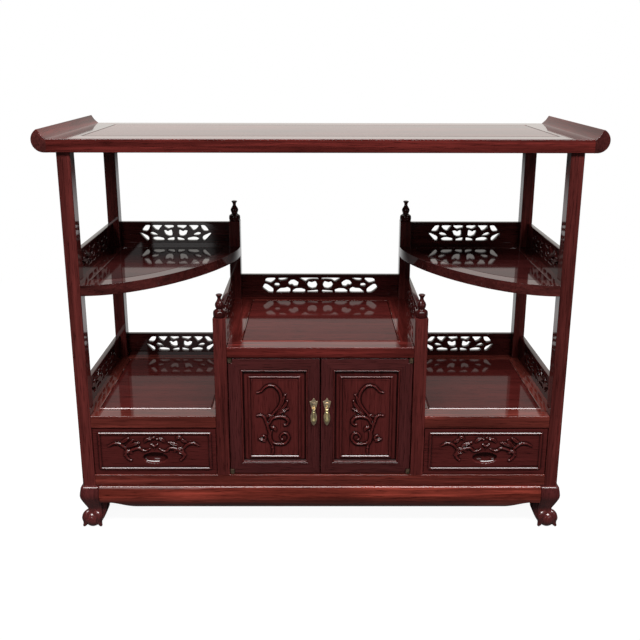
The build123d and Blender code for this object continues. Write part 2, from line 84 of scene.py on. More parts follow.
post_low, post_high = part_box("corner_post_front_left")
back_post_low, back_post_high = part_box("corner_post_back_left")
mid_low, mid_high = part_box("mid_post_front_left")
x_out, x_in = -post_low.x, -post_high.x
x_mid_out, x_mid_in = -mid_low.x, -mid_high.x
y_front, y_front_in = post_low.y, post_high.y
y_back_in, y_back = back_post_low.y, back_post_high.y
z_rail_low, z_rail = heights("bottom_rails")
z_lower_low, z_lower = heights("lower_shelf_rails_left")
z_centre_low, z_centre = heights("centre_shelf_rails")
z_upper_low, z_upper = heights("upper_shelf_rails_left")
z_top_low, z_top = heights("top_rail_front")
z_apron = post_low.z
ease = 1.3 * MM            # every sharp edge is eased by this much before it is lacquered
soft_ease, soft_steps = 1.8 * MM, 3     # top rails and doors are rounded a little more
groove = 2.3 * MM          # V groove between a panel and its frame
print("posts", round(1000 * x_out), "mm out, shelves at",
      [round(1000 * z) for z in (z_lower, z_centre, z_upper)])

# %% [markdown]
# ## Camera
# The cabinet is seen from the front, a little above its top, with a normal lens. The picture is
# framed slightly below the lens's axis, as when a wide frame is cropped, so a small vertical shift
# does that and the posts keep their slight convergence towards the floor.

# %% Camera
image_px = 640
focal_px = 737.6
axis_row = 235
camera_place = Vector((-0.0060, -1.5402, 0.9721))
pitch_down = 0.2371
turn = -0.0034
lean = 0.0019

def link(name, data):
    """An object in the scene."""
    made = bpy.data.objects.new(name, data)
    bpy.context.scene.collection.objects.link(made)
    return made


lens = bpy.data.cameras.new("camera")
lens.sensor_width = 36.0
lens.lens = focal_px * lens.sensor_width / image_px
lens.shift_y = (axis_row - image_px / 2) / image_px
lens.clip_end = 60.0
camera = link("camera", lens)
camera.rotation_mode = "QUATERNION"
facing = Matrix.Rotation(turn, 4, "Z") @ Matrix.Rotation(math.pi / 2 - pitch_down, 4, "X")
camera.matrix_world = Matrix.Translation(camera_place) @ facing @ Matrix.Rotation(lean, 4, "Z")
bpy.context.scene.camera = camera
print("lens", round(lens.lens, 2), "mm, shift", round(lens.shift_y, 3))

# %% [markdown]
# ## Node helper
# A finish is a small graph of nodes. One helper makes a node and fills its inputs: a value is set
# on the socket, and an output of another node is linked. That keeps each finish readable as a
# short list.

# %% Nodes, ramps and ranges
def node(tree, kind, inputs=None, **settings):
    """A shader node whose inputs are set to values or linked to other nodes."""
    made = tree.nodes.new("ShaderNode" + kind)
    for key, value in settings.items():
        setattr(made, key, value)
    for key, value in (inputs or {}).items():
        if isinstance(value, bpy.types.NodeSocket):
            tree.links.new(value, made.inputs[key])
        else:
            made.inputs[key].default_value = value
    return made


def colour_ramp(tree, factor, stops):
    """Colours along a value, given as (place, colour)."""
    made = node(tree, "ValToRGB", {"Fac": factor})
    ramp = made.color_ramp
    ramp.elements[0].position, ramp.elements[0].color = stops[0][0], (*stops[0][1], 1)
    ramp.elements[1].position, ramp.elements[1].color = stops[-1][0], (*stops[-1][1], 1)
    for place, colour in stops[1:-1]:
        ramp.elements.new(place).color = (*colour, 1)
    return made.outputs["Color"]


def math_node(tree, operation, a, b):
    return node(tree, "Math", {0: a, 1: b}, operation=operation).outputs[0]


def map_range(tree, value, start, end, low, high):
    """A value that runs from low to high while the given one runs from start to end."""
    return node(tree, "MapRange", {"Value": value, "From Min": start, "From Max": end,
                                   "To Min": low, "To Max": high}).outputs[0]


print("nodes, ramps and ranges can be made")

# %% Figure of the wood and a fresh finish
def grain_along(tree, axis):
    """The object's own coordinates, turned so that the grain runs along an axis."""
    turns = {"X": (0, 0, 0), "Y": (0, 0, math.pi / 2), "Z": (0, math.pi / 2, 0)}
    here = node(tree, "TexCoord").outputs["Object"]
    return node(tree, "Mapping", {"Vector": here, "Rotation": turns[axis]}).outputs[0]


def figure(tree, place, scale, detail, roughness=0.6, distortion=0.0):
    """A noise that is stretched along the grain."""
    stretched = node(tree, "Mapping", {"Vector": place, "Scale": scale}).outputs[0]
    return node(tree, "TexNoise", {"Vector": stretched, "Scale": 1.0, "Detail": detail,
                                   "Roughness": roughness, "Distortion": distortion}).outputs["Fac"]


def new_finish(name):
    made = bpy.data.materials.new(name)
    made.use_nodes = True
    tree = made.node_tree
    tree.nodes.clear()
    shader = node(tree, "BsdfPrincipled")
    node(tree, "OutputMaterial", {"Surface": shader.outputs[0]})
    return made, tree, shader


def dress(tree, shader, colour, rough, height, strength):
    """Links colour, roughness and a fine bump to a shader."""
    bump = node(tree, "Bump", {"Height": height, "Strength": strength, "Distance": 0.0003})
    for key, socket in (("Base Color", colour), ("Roughness", rough), ("Normal", bump.outputs[0])):
        tree.links.new(socket, shader.inputs[key])


print("finishes can be made")

# %% [markdown]
# ## Rosewood
# Rosewood has long dark streaks in a red-brown ground, with finer stripes and short dark pores. A clear
# gloss lacquer lies over it and mirrors the room. A picture of a board would repeat and stretch, so the
# figure is made of four stretched noises that run along each board. The boards carry their own wood
# coordinates, first along the grain and then across it, in an attribute called wood: one finish then
# serves boards of every direction, and no two boards show the same stretch of the log. Carved boards
# carry a second attribute, which paints shade into their cuts: the colour is darkened there, where
# shade would fall. Wide panels are rubbed down more than rails, so their lacquer mirrors less.

# %% Rosewood under clear lacquer
streak_mix = 0.55          # share of the wide bands in the figure, the rest is fine stripes
cut_shade_depth = 0.85         # how much the painted shade darkens the deepest cuts


def rosewood(name, middle, bright, dark=0.5, axis=None, gloss=1.45, polish=1.0):
    """Rosewood from its middle tone and the shares of it in bright and dark streaks. gloss is the
    refraction of the lacquer and polish its weight."""
    made, tree, shader = new_finish(f"rosewood_{name}")
    if axis is None:
        place = node(tree, "Attribute", attribute_name="wood").outputs["Vector"]
    else:
        place = grain_along(tree, axis)
    bands = figure(tree, place, (1.6, 34.0, 34.0), 3.0, distortion=0.6)
    stripes = figure(tree, place, (4.0, 190.0, 190.0), 4.0)
    pores = figure(tree, place, (26.0, 900.0, 900.0), 2.0)
    clouds = figure(tree, place, (3.0, 7.0, 7.0), 2.0)
    wide = math_node(tree, "MULTIPLY", bands, streak_mix)
    fine = math_node(tree, "MULTIPLY", stripes, 1.0 - streak_mix)
    shaded = math_node(tree, "MULTIPLY", math_node(tree, "SUBTRACT", clouds, 0.5), 0.35)
    value = math_node(tree, "ADD", math_node(tree, "ADD", wide, fine), shaded)
    ground = colour_ramp(tree, value, [(0.34, tuple(c * dark for c in middle)), (0.50, middle),
                                       (0.66, tuple(c * bright for c in middle))])
    open_pores = colour_ramp(tree, pores, [(0.33, (0.35, 0.30, 0.30)), (0.46, (1.0, 1.0, 1.0))])
    colour = node(tree, "VectorMath", {0: ground, 1: open_pores}, operation="MULTIPLY").outputs[0]
    # painted shade: the colour is darkened in the carved cuts, where shade would fall
    cuts = node(tree, "Attribute", attribute_name="stain").outputs["Fac"]
    clear = math_node(tree, "SUBTRACT", 1.0, math_node(tree, "MULTIPLY", cuts, cut_shade_depth))
    shadowed = node(tree, "VectorMath", {0: colour, "Scale": clear}, operation="SCALE").outputs[0]
    dress(tree, shader, shadowed, map_range(tree, clouds, 0.3, 0.7, 0.30, 0.42), pores, 0.10)
    for key, value in (("Specular IOR Level", 0.0), ("Coat Weight", polish),
                       ("Coat Roughness", 0.06), ("Coat IOR", gloss)):
        shader.inputs[key].default_value = value
    return made


print("figure:", streak_mix, "wide bands,", round(1 - streak_mix, 2), "fine stripes")

# %% Rosewoods of the cabinet
post_tones = ((0.066, 0.0122, 0.0108), 1.7)
post_wood = rosewood("post_up", *post_tones, axis="Z")
rail_wood = rosewood("rail", (0.094, 0.0175, 0.0130), 2.0)
# painted shade: a darker copy of the rail wood for the top and centre rails, since the lamps light the
# higher parts more
shaded_high_rail_wood = rosewood("shaded_high_rail", (0.068, 0.0098, 0.0082), 2.1)
apron_wood = rosewood("apron", (0.118, 0.0190, 0.0125), 2.4)
top_wood = rosewood("top", (0.078, 0.0115, 0.0095), 1.8, gloss=1.25, polish=0.9)
end_wood = rosewood("end_grain", (0.046, 0.0105, 0.0095), 1.8)
shelf_wood = rosewood("shelf", (0.032, 0.0060, 0.0058), 1.4, gloss=1.24, polish=0.80)
shelf_rail_wood = rosewood("shelf_rail", (0.048, 0.0105, 0.0095), 1.7)
panel_wood = rosewood("panel", (0.062, 0.0095, 0.0085), 1.3, 0.72, gloss=1.22, polish=0.68)
door_wood = rosewood("door", (0.050, 0.0110, 0.0108), 1.35, 0.75)
field_wood = rosewood("field", (0.066, 0.0115, 0.0105), 1.30, 0.82)
foot_wood = rosewood("foot", (0.072, 0.0155, 0.0150), 1.4, 0.65)
carved_wood = rosewood("carved", (0.032, 0.0060, 0.0055), 1.6)
print("rosewood finishes:", [m.name for m in bpy.data.materials if m.name.startswith("rosewood")])

# %% [markdown]
# ## Plain hardwood and aged brass
# The inside of the case is a plainer, paler hardwood with a thin matt finish, since nobody sees
# it. The pulls and pivots are cast brass that has darkened in patches. One noise mixes clean metal
# and patina, and the same patches are rougher and stand a little lower.

# %% Inner wood and brass
def inner_hardwood(name, axis):
    made, tree, shader = new_finish(name)
    stripes = figure(tree, grain_along(tree, axis), (3.0, 90.0, 90.0), 5.0, roughness=0.5)
    colour = colour_ramp(tree, stripes, [(0.3, (0.11, 0.045, 0.025)), (0.7, (0.24, 0.11, 0.06))])
    dress(tree, shader, colour, map_range(tree, stripes, 0.0, 1.0, 0.5, 0.7), stripes, 0.15)
    return made


def aged_brass(name, middle):
    made, tree, shader = new_finish(name)
    here = node(tree, "TexCoord").outputs["Object"]
    patina = node(tree, "TexNoise", {"Vector": here, "Scale": 120.0, "Detail": 3.0}).outputs["Fac"]
    stops = ((0.34, 0.40), (0.50, 1.0), (0.66, 1.35))
    colour = colour_ramp(tree, patina, [(place, tuple(share * c for c in middle))
                                        for place, share in stops])
    dress(tree, shader, colour, map_range(tree, patina, 0.35, 0.65, 0.50, 0.30), patina, 0.15)
    shader.inputs["Metallic"].default_value = 0.8
    return made


brass = aged_brass("aged_brass", (0.60, 0.47, 0.31))
rubbed_brass = aged_brass("rubbed_brass", (0.88, 0.76, 0.38))
dark_brass = aged_brass("darkened_brass", (0.20, 0.14, 0.09))
inner_wood = {axis: inner_hardwood(f"inner_hardwood_{axis}", axis) for axis in "XYZ"}
print("inner hardwood along", sorted(inner_wood), "and", brass.name)

# %% [markdown]
# ## Boards
# Most of the cabinet is boards: an outline drawn on one face and a thickness. A board could be a
# scaled cube, but mitres, notches and curves need an outline. Each board is an extruded polygon,
# and all the boards of one piece go into one mesh, as they are glued up. A bevel modifier eases
# the arrises, which is what catches the light along every edge of the real piece.

# %% Boards
AXES = {"X": (1, 2), "Y": (0, 2), "Z": (0, 1)}


def wood_coordinates(points, grain, number):
    """Coordinates along and across the grain, on a fresh stretch of the log for each board."""
    order = {"X": (0, 1, 2), "Y": (1, 0, 2), "Z": (2, 0, 1)}[grain]
    shift = np.array([(share * number) % 1.0 for share in (0.37, 0.61, 0.83)]) * 3.0
    return np.asarray(points, float)[:, order] + shift


def signed_area(points):
    return 0.5 * sum(points[i - 1][0] * points[i][1] - points[i][0] * points[i - 1][1]
                     for i in range(len(points)))


def stack_faces(levels, n):
    """Faces of a closed stack of outlines with n corners each: both ends, then the sides."""
    faces = [list(range(n))[::-1], [(levels - 1) * n + i for i in range(n)]]
    for s in range(levels - 1):
        for i in range(n):
            j = (i + 1) % n
            faces.append([s * n + i, s * n + j, (s + 1) * n + j, (s + 1) * n + i])
    return faces


def board(outline, normal, low, high, grain):
    """A board: its outline in the plane across the normal, between two heights along the normal."""
    a, b = AXES[normal]
    points = []
    for height in (low, high):
        for u, v in outline:
            point = [0.0, 0.0, 0.0]
            point[a], point[b], point[3 - a - b] = u, v, height
            points.append(point)
    faces = stack_faces(2, len(outline))
    if (signed_area(outline) < 0) != (normal == "Y"):
        faces = [face[::-1] for face in faces]
    return {"points": points, "faces": faces, "grain": grain}


def plain_board(x, y, z, grain):
    """A board with square ends between two corners."""
    return board([(x[0], y[0]), (x[1], y[0]), (x[1], y[1]), (x[0], y[1])], "Z", z[0], z[1], grain)


print("grain directions:", sorted(AXES))

# %% Copies of a board
def flip_x(part):
    """The same board on the other side of the cabinet."""
    points = [(-x, y, z) for x, y, z in part["points"]]
    return {**part, "points": points, "faces": [face[::-1] for face in part["faces"]]}


def flip_y(part):
    """The same board at the back of the cabinet."""
    points = [(x, -y, z) for x, y, z in part["points"]]
    return {**part, "points": points, "faces": [face[::-1] for face in part["faces"]]}


def placed(part, matrix, grain=None):
    """A copy of a part, moved by a matrix."""
    m = np.array(matrix)
    points = np.array(part["points"]) @ m[:3, :3].T + m[:3, 3]
    return {**part, "points": points.tolist(), "grain": grain or part["grain"]}


SIDES = (("left", lambda part: part), ("right", flip_x))
print("sides:", [side for side, _ in SIDES])

# %% A piece from its boards
crease = math.radians(42)  # parts whose arrises are not eased keep an edge where faces meet at more
board_count = 0


def piece(name, parts, finish, nodes, bevel=ease, steps=2, body="cabinet"):
    """One dressed piece from its boards, eased, finished and hung on its body for its nodes."""
    global board_count
    points, faces, wood, stain = [], [], [], []
    for part in parts:
        board_count += 1
        start = len(points)
        points += [tuple(p) for p in part["points"]]
        faces += [[start + i for i in face] for face in part["faces"]]
        wood.append(wood_coordinates(part["points"], part["grain"], board_count))
        # a carved board brings the painted shade of its cuts, other boards none
        stain.append(part.get("stain", np.zeros(len(part["points"]))))
    mesh = bpy.data.meshes.new(name)
    mesh.from_pydata(points, [], faces)
    for key, kind, field, rows in (("wood", "FLOAT_VECTOR", "vector", wood),
                                   ("stain", "FLOAT", "value", stain)):
        values = mesh.attributes.new(key, kind, "POINT").data
        values.foreach_set(field, np.concatenate(rows).ravel())
    mesh.materials.append(finish)
    mesh.update()
    made = link(name, mesh)
    mesh.shade_smooth()
    if bevel:
        arris = made.modifiers.new("eased_arrises", "BEVEL")
        arris.width = bevel
        arris.segments = steps
        arris.limit_method = "WEIGHT"
        arris.harden_normals = True
    else:
        mesh.set_sharp_from_angle(angle=crease)
    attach(made, body)
    if nodes:
        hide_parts(*nodes)
    return made


def floating_panel(name, part, finish, solid):
    """A panel whose chamfered edge leaves a V groove beside its frame."""
    piece(name, [part], finish, [solid], groove, 1)


print("arrises eased by", round(1000 * ease, 1), "mm, grooves of", round(1000 * groove, 1), "mm")

# %% [markdown]
# ## Top
# The top is a long frame with mitred corners and one flat panel, and at each end a flange rises
# and curls outwards like the eave of a roof. The flange is a curved section run along the end, so
# its outline is drawn in the XZ plane with two arcs and extruded from front to back. Its two ends
# show end grain, which drinks more stain and comes out darker.

# %% Frame and panel of the top
rail_box, panel_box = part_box("top_rail_front"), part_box("top_panel")
flange_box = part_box("top_flange_left")
x_top, y_top = rail_box[1].x, -rail_box[0].y
x_field, y_field = panel_box[1].x, panel_box[1].y
front_rail = board([(-x_top, -y_top), (x_top, -y_top), (x_field, -y_field), (-x_field, -y_field)],
                   "Z", z_top_low, z_top, "X")
end_rail = board([(-x_top, -y_top), (-x_field, -y_field), (-x_field, y_field), (-x_top, y_top)],
                 "Z", z_top_low, z_top, "Y")
# the top rails take the rail wood copy with painted shade
piece("top_front_rail", [front_rail], shaded_high_rail_wood, ["top_rail_front"], soft_ease, soft_steps)
piece("top_back_rail", [flip_y(front_rail)], shaded_high_rail_wood, ["top_rail_back"], soft_ease,
      soft_steps)
piece("top_end_rail_pair", [end_rail, flip_x(end_rail)], shaded_high_rail_wood, ["top_end_rails"])
shrunk = 1.4 * MM          # a wide board shrinks across its ends, which opens a dark line there
top_field = plain_board((shrunk - x_field, x_field - shrunk), (-y_field, y_field),
                        (panel_box[0].z, z_top), "X")
floating_panel("top_board", top_field, top_wood, "top_panel")
print("top frame", round(2000 * x_top), "mm long and", round(2000 * y_top), "mm deep")

# %% End flanges
def arc_through(a, b, c, count):
    """Points of the circle through a, b and c, from a to c."""
    (ax, ay), (bx, by), (cx, cy) = a, b, c
    d = 2 * (ax * (by - cy) + bx * (cy - ay) + cx * (ay - by))
    a2, b2, c2 = ax * ax + ay * ay, bx * bx + by * by, cx * cx + cy * cy
    ux = (a2 * (by - cy) + b2 * (cy - ay) + c2 * (ay - by)) / d
    uy = (a2 * (cx - bx) + b2 * (ax - cx) + c2 * (bx - ax)) / d
    r = math.hypot(ax - ux, ay - uy)
    angles = [math.atan2(y - uy, x - ux) for x, y in (a, b, c)]
    around = (angles[2] - angles[0]) % math.tau
    if (angles[1] - angles[0]) % math.tau > around:
        around -= math.tau
    return [(ux + r * math.cos(angles[0] + around * i / count),
             uy + r * math.sin(angles[0] + around * i / count))
            for i in range(count + 1)]


flange_w = -x_top - flange_box[0].x
rise = flange_box[1].z - z_top
ridge_in = 15 * MM
top_t = z_top - z_top_low
ridge = (-x_top - ridge_in, z_top + rise)
slope = (-x_top - 0.55 * ridge_in, z_top + 0.42 * rise)
nose = (-x_top - flange_w, z_top - 0.1 * top_t)
foot_of_nose = (-x_top - flange_w / 6, z_top_low)
flange_outline = [(-x_top, z_top_low)] + arc_through((-x_top, z_top), slope, ridge, 10)
flange_outline += arc_through(ridge, nose, foot_of_nose, 22)[1:]
left_flange = board(flange_outline, "Y", -y_top, y_top, "Y")
flange_ease = 1.5 * MM
for side, turn_to in SIDES:
    flange = piece(f"top_end_flange_{side}", [turn_to(left_flange)], top_wood,
                   [f"top_flange_{side}"], flange_ease)
    flange.data.materials.append(end_wood)
    for face in flange.data.polygons:
        face.material_index = int(abs(face.normal.y) > 0.9)
print("top", round(2000 * (x_top + flange_w)), "mm over its flanges")

# %% [markdown]
# ## Quarter-round shelves
# Each upper shelf fills the corner between the end posts and a back post, with a curved rail
# across the front. The curve leaves the front post square to it and reaches the back post from the
# side, which is a cubic curve with one handle along each direction. The same curve, moved in by
# the width of the rail, bounds the panel.

# %% Quarter-round shelves
def cubic(a, b, c, d, count=40):
    t = np.linspace(0, 1, count + 1)[:, None]
    a, b, c, d = (np.array(p, float) for p in (a, b, c, d))
    return (1 - t) ** 3 * a + 3 * (1 - t) ** 2 * t * b + 3 * (1 - t) * t ** 2 * c + t ** 3 * d


def shelf_curve(start, end, pull_start=0.50, pull_end=0.33):
    (xs, ys), (xe, ye) = start, end
    return cubic(start, (xs + pull_start * (xe - xs), ys), (xe, ye - pull_end * (ye - ys)), end)


upper_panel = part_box("upper_shelf_panel_left")
x_corner, y_corner = upper_panel[0].x, upper_panel[0].y
heel = (upper_panel[1].x, upper_panel[1].y)
outer = shelf_curve((-x_in, y_front), (-x_mid_in, y_back_in))
inner = shelf_curve((x_corner, y_corner), heel)
curved_outline = [tuple(p) for p in outer] + [(heel[0], y_back_in)]
curved_outline += [tuple(p) for p in inner[::-1]] + [(-x_in, y_front_in)]
curved_rail = board(curved_outline, "Z", z_upper_low, z_upper, "X")
back_rail = board([(-x_in, y_back), (-x_mid_out, y_back), (-x_mid_out, y_back_in),
                   (heel[0], y_back_in), heel, (x_corner, heel[1]), (-x_in, y_back_in)],
                  "Z", z_upper_low, z_upper, "X")


def side_rail(inside, y_low, y_high, low, high):
    return board([(-x_out, y_front_in), (-x_in, y_front_in), (inside, y_low), (inside, y_high),
                  (-x_in, y_back_in), (-x_out, y_back_in)], "Z", low, high, "Y")


upper_side = side_rail(x_corner, y_corner, heel[1], z_upper_low, z_upper)
shelf_field = [tuple(p) for p in inner] + [(x_corner, heel[1])]
upper_field = board(shelf_field, "Z", upper_panel[0].z, z_upper, "X")
curve_ease, curve_steps = 2.6 * MM, 3     # rounded wide enough to draw a line along the curve
for side, turn_to in SIDES:
    piece(f"upper_shelf_front_rail_{side}", [turn_to(curved_rail)], shelf_rail_wood,
          [f"upper_shelf_curved_rail_{side}"], curve_ease, curve_steps)
    piece(f"upper_shelf_frame_{side}", [turn_to(back_rail), turn_to(upper_side)], shelf_rail_wood,
          [f"upper_shelf_rails_{side}"])
    floating_panel(f"upper_shelf_board_{side}", turn_to(upper_field), shelf_wood,
                   f"upper_shelf_panel_{side}")
print("shelf curve", len(outer), "points, rail", round(1000 * (z_upper - z_upper_low)), "mm thick")

# %% [markdown]
# ## Lower shelves, centre shelf and bottom rails
# These are frames with mitred corners, notched round the posts, and a flat panel whose chamfered
# edge leaves a V groove. A fine bead stands beside the groove and draws a bright line round each
# shelf. On the real frame it is scratched along the rails; here it is a thin three-cornered strip.

# %% Lower shelves
def bead_round(x0, x1, y0, y1, z, w=1.3 * MM):
    """A fine three-cornered bead, w wide to each side, along the four sides of a panel."""
    def section(middle):
        return [(middle - w, z - 0.2 * w), (middle + w, z - 0.2 * w), (middle, z + 0.85 * w)]

    along_x = [board(section(y), "X", x0, x1, "X") for y in (y0 - w, y1 + w)]
    return along_x + [board(section(x), "Y", y0, y1, "Y") for x in (x0 - w, x1 + w)]


lower_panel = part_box("lower_shelf_panel_left")
x0, x1, y0, y1 = lower_panel[0].x, lower_panel[1].x, lower_panel[0].y, lower_panel[1].y
lower_front = board([(-x_in, y_front), (-x_mid_out, y_front), (-x_mid_out, y0), (x0, y0),
                     (-x_in, y_front_in)], "Z", z_lower_low, z_lower, "X")
lower_inner = plain_board((x1, -x_mid_out), (y0, y1), (z_lower_low, z_lower), "Y")
lower_parts = [lower_front, flip_y(lower_front), side_rail(x0, y0, y1, z_lower_low, z_lower),
               lower_inner]
lower_field = plain_board((x0, x1), (y0, y1), (lower_panel[0].z, z_lower), "X")
for side, turn_to in SIDES:
    piece(f"lower_shelf_frame_{side}", [turn_to(part) for part in lower_parts], rail_wood,
          [f"lower_shelf_rails_{side}"])
    floating_panel(f"lower_shelf_board_{side}", turn_to(lower_field), panel_wood,
                   f"lower_shelf_panel_{side}")
    lower_bead = [turn_to(part) for part in bead_round(x0, x1, y0, y1, z_lower)]
    piece(f"lower_shelf_bead_{side}", lower_bead, rail_wood, [], 0)
print("lower shelves at", round(1000 * z_lower), "mm")

# %% Centre shelf
centre_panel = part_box("centre_shelf_panel")
xc, yc = centre_panel[1].x, centre_panel[1].y
centre_front = board([(-x_mid_in, y_front), (x_mid_in, y_front), (x_mid_in, y_front_in), (xc, -yc),
                      (-xc, -yc), (-x_mid_in, y_front_in)], "Z", z_centre_low, z_centre, "X")
centre_side = board([(-x_mid_out, y_front_in), (-x_mid_in, y_front_in), (-xc, -yc), (-xc, yc),
                     (-x_mid_in, y_back_in), (-x_mid_out, y_back_in)], "Z", z_centre_low, z_centre,
                     "Y")
# the centre shelf's frame takes the rail wood copy with painted shade
piece("centre_shelf_frame", [centre_front, flip_y(centre_front), centre_side, flip_x(centre_side)],
      shaded_high_rail_wood, ["centre_shelf_rails"])
centre_field = plain_board((-xc, xc), (-yc, yc), (centre_panel[0].z, z_centre), "X")
floating_panel("centre_shelf_board", centre_field, panel_wood, "centre_shelf_panel")
piece("centre_shelf_bead", bead_round(-xc, xc, -yc, yc, z_centre), rail_wood, [], 0)
print("centre shelf at", round(1000 * z_centre), "mm")

# %% Bottom rails
low_front = plain_board((-x_in, x_in), (y_front, y_front_in), (z_rail_low, z_rail), "X")
low_side = plain_board((-x_out, -x_in), (y_front_in, y_back_in), (z_rail_low, z_rail), "Y")
piece("bottom_rail_frame", [low_front, flip_y(low_front), low_side, flip_x(low_side)], rail_wood,
      ["bottom_rails"])
print("bottom rails", round(1000 * (z_rail - z_rail_low)), "mm high")

# %% [markdown]
# ## Posts, case panels and the hidden work
# The posts are already rounded along their edges in the frame, so they only take the finish. The
# same is true of the case panels, the back and the inside of the drawers, which are flat boards on
# the real cabinet too. Each gets the grain along its length.

# %% Finishes for the boards that stay as they are
side_wood = rosewood("case_side", *post_tones, axis="Y")
back_wood = rosewood("case_back", *post_tones, axis="X")
carried = {"case_side_panels": side_wood, "partitions": side_wood, "back_panels": back_wood}
for corner in ("front_left", "front_right", "back_left", "back_right"):
    carried.update({f"corner_post_{corner}": post_wood, f"mid_post_{corner}": post_wood})
for name, axis in (("floor_board", "X"), ("drawer_runners", "Y"), ("door_stop", "X"),
                   ("drawer_left_box", "Y"), ("drawer_right_box", "Y")):
    carried[name] = inner_wood[axis]
for side, _ in SIDES:
    carried[f"door_{side}_pivots"] = dark_brass
for name, finish in carried.items():
    slots = frame["nodes"][name].data.materials
    slots.clear()
    slots.append(finish)
print("boards carried over:", len(carried))

# %% [markdown]
# ## Fretted galleries
# Low boards stand along the back and the side of each shelf, sawn through with a scrolling leaf
# pattern and rounded by hand. Cutting holes with booleans gives ragged arrises, so each board is a
# filled flat curve whose inner splines are the holes: Blender fills it, gives it thickness and
# rounds every edge at once. The holes are drawn for one half of an opening and mirrored, and the
# lower edge is let into the shelf.

# %% Holes in one half of a fret, drawn from its middle
fret_half, fret_mid = 85.0, 18.5
short_cells = (
    ((-80, 5), (-70, 18.5), (-59, 18.5), (-62, 10), (-67, 4)),
    ((-85, -0.5), (-81, 0), (-66, -7), (-63, -12), (-64, -17.5), (-69, -18.5)),
    ((-55, 16), (-53, 18.5), (-30, 18.5), (-36, 13), (-41, 5.5), (-48, 8)),
    ((-61, -0.5), (-55, 2), (-48, 0), (-40, -6), (-55, -5.5)),
    ((-56, -14), (-50, -10.5), (-42, -9.5), (-28, -12.5), (-27, -18.5), (-50, -18.5)),
    ((-27.5, 18.5), (-3.5, 18.5), (-4.5, 13), (-10, 12), (-18, 9.5), (-25, 14)),
    ((-29, 5.5), (-22.5, 6.5), (-18, 3.5), (-12, 7), (-8.5, 7), (-7.5, -4), (-10, -7.5), (-17, -8),
     (-24, -5)),
    ((-20, -14.5), (-12, -12), (-3.5, -10.5), (-3.5, -18.5), (-20.5, -18.5)),
)
long_half = 138.5
long_cells = (
    ((-133, 10), (-128, 18), (-107, 18.5), (-108, 13), (-118.5, 5)),
    ((-138.5, -6.5), (-133, 3.5), (-126.5, 2.5), (-112, -8.5), (-113, -18.5), (-123, -18.5)),
    ((-111, 1.5), (-106, 5.5), (-99, 5), (-95.5, 1), (-100, -2.5), (-107, -2)),
    ((-102.5, 17.5), (-74, 18.5), (-86.5, 12.5), (-96, 11.5)),
    ((-77, 5), (-70.5, 12.5), (-62.5, 14), (-51.5, 7.5), (-54, -2), (-62, -3.5), (-67, 1.5),
     (-73, 0)),
    ((-106, -17), (-96, -7.5), (-85, -7), (-78.5, -4.5), (-71.5, -8.5), (-71.5, -18.5),
     (-104, -18.5)),
    ((-66.5, -14), (-58, -8), (-45, -7.5), (-35.5, -11), (-36, -18.5), (-65, -18.5)),
    ((-51, 18.5), (-3.5, 18.5), (-3.5, 14.5), (-15, 15), (-28, 14), (-35, 9), (-41, 12.5)),
    ((-31, 2), (-27, 9.5), (-20, 7), (-11, 10.5), (-6.7, 2), (-9.5, -6.5), (-19, -9), (-28, -5)),
    ((-31, -18), (-30, -14), (-18, -13), (-5, -12), (-5, -18)),
)
print("holes in half a fret:", len(short_cells), "short,", len(long_cells), "long")

# %% Sawn outlines with rounded edges
def worn(points):
    """A polygon with its corners cut off twice, as a file would, so it never bulges."""
    p = np.array(points, float)
    for cut in (0.15, 0.25):
        after = np.roll(p, -1, axis=0)
        p = np.stack([(1 - cut) * p + cut * after, cut * p + (1 - cut) * after], 1).reshape(-1, 2)
    return [tuple(point) for point in p]


def closed_spline(curve, points, clockwise):
    if (signed_area(points) < 0) != clockwise:
        points = points[::-1]
    spline = curve.splines.new("POLY")
    spline.points.add(len(points) - 1)
    for knot, (u, v) in zip(spline.points, points):
        knot.co = (u, v, 0, 1)
    spline.use_cyclic_u = True


def as_part(made, turn_up=False):
    """An evaluated object as a part, if need be turned up to face the front; the object goes."""
    bpy.context.view_layer.update()
    shown = made.evaluated_get(bpy.context.evaluated_depsgraph_get())
    solid = bpy.data.meshes.new_from_object(shown)
    bpy.data.objects.remove(made)
    if turn_up:
        solid.transform(Matrix.Rotation(math.pi / 2, 4, "X"))
    return {"points": [tuple(v.co) for v in solid.vertices],
            "faces": [list(f.vertices) for f in solid.polygons], "grain": "Z"}


def filled_curve(outline, holes, thickness, rounding):
    """A sawn outline with holes, its middle plane at Y = 0 and every edge rounded."""
    curve = bpy.data.curves.new("outline", "CURVE")
    curve.dimensions = "2D"
    curve.fill_mode = "BOTH"
    curve.bevel_depth = rounding
    curve.bevel_resolution = 2
    curve.extrude = thickness / 2 - rounding
    curve.offset = -rounding
    closed_spline(curve, outline, False)
    for hole in holes:
        closed_spline(curve, hole, True)
    return as_part(link("outline", curve), turn_up=True)


print("outlines can be sawn")

# %% Fretted boards
gallery_t = 11 * MM
gallery_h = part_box("upper_back_gallery_left")[1].z - z_upper
fret_top, fret_bottom = 8 * MM, 11 * MM
fret_round = 1.2 * MM
tongue = 1.5 * fret_round    # the lower edge sinks into the shelf, which hides its rounding


def fretted_board(length, end, cells, half):
    """A pierced board along X, centred, standing on Z = 0."""
    across = (length / 2 - end) / half
    up = (gallery_h - fret_top - fret_bottom) / 2 / fret_mid
    z_mid = fret_bottom + up * fret_mid
    holes = [worn([(-side * u * across, z_mid + v * up) for u, v in cell])
             for cell in cells for side in (-1, 1)]
    outline = [(-length / 2, -tongue), (length / 2, -tongue), (length / 2, gallery_h),
               (-length / 2, gallery_h)]
    return filled_curve(outline, holes, gallery_t, fret_round)


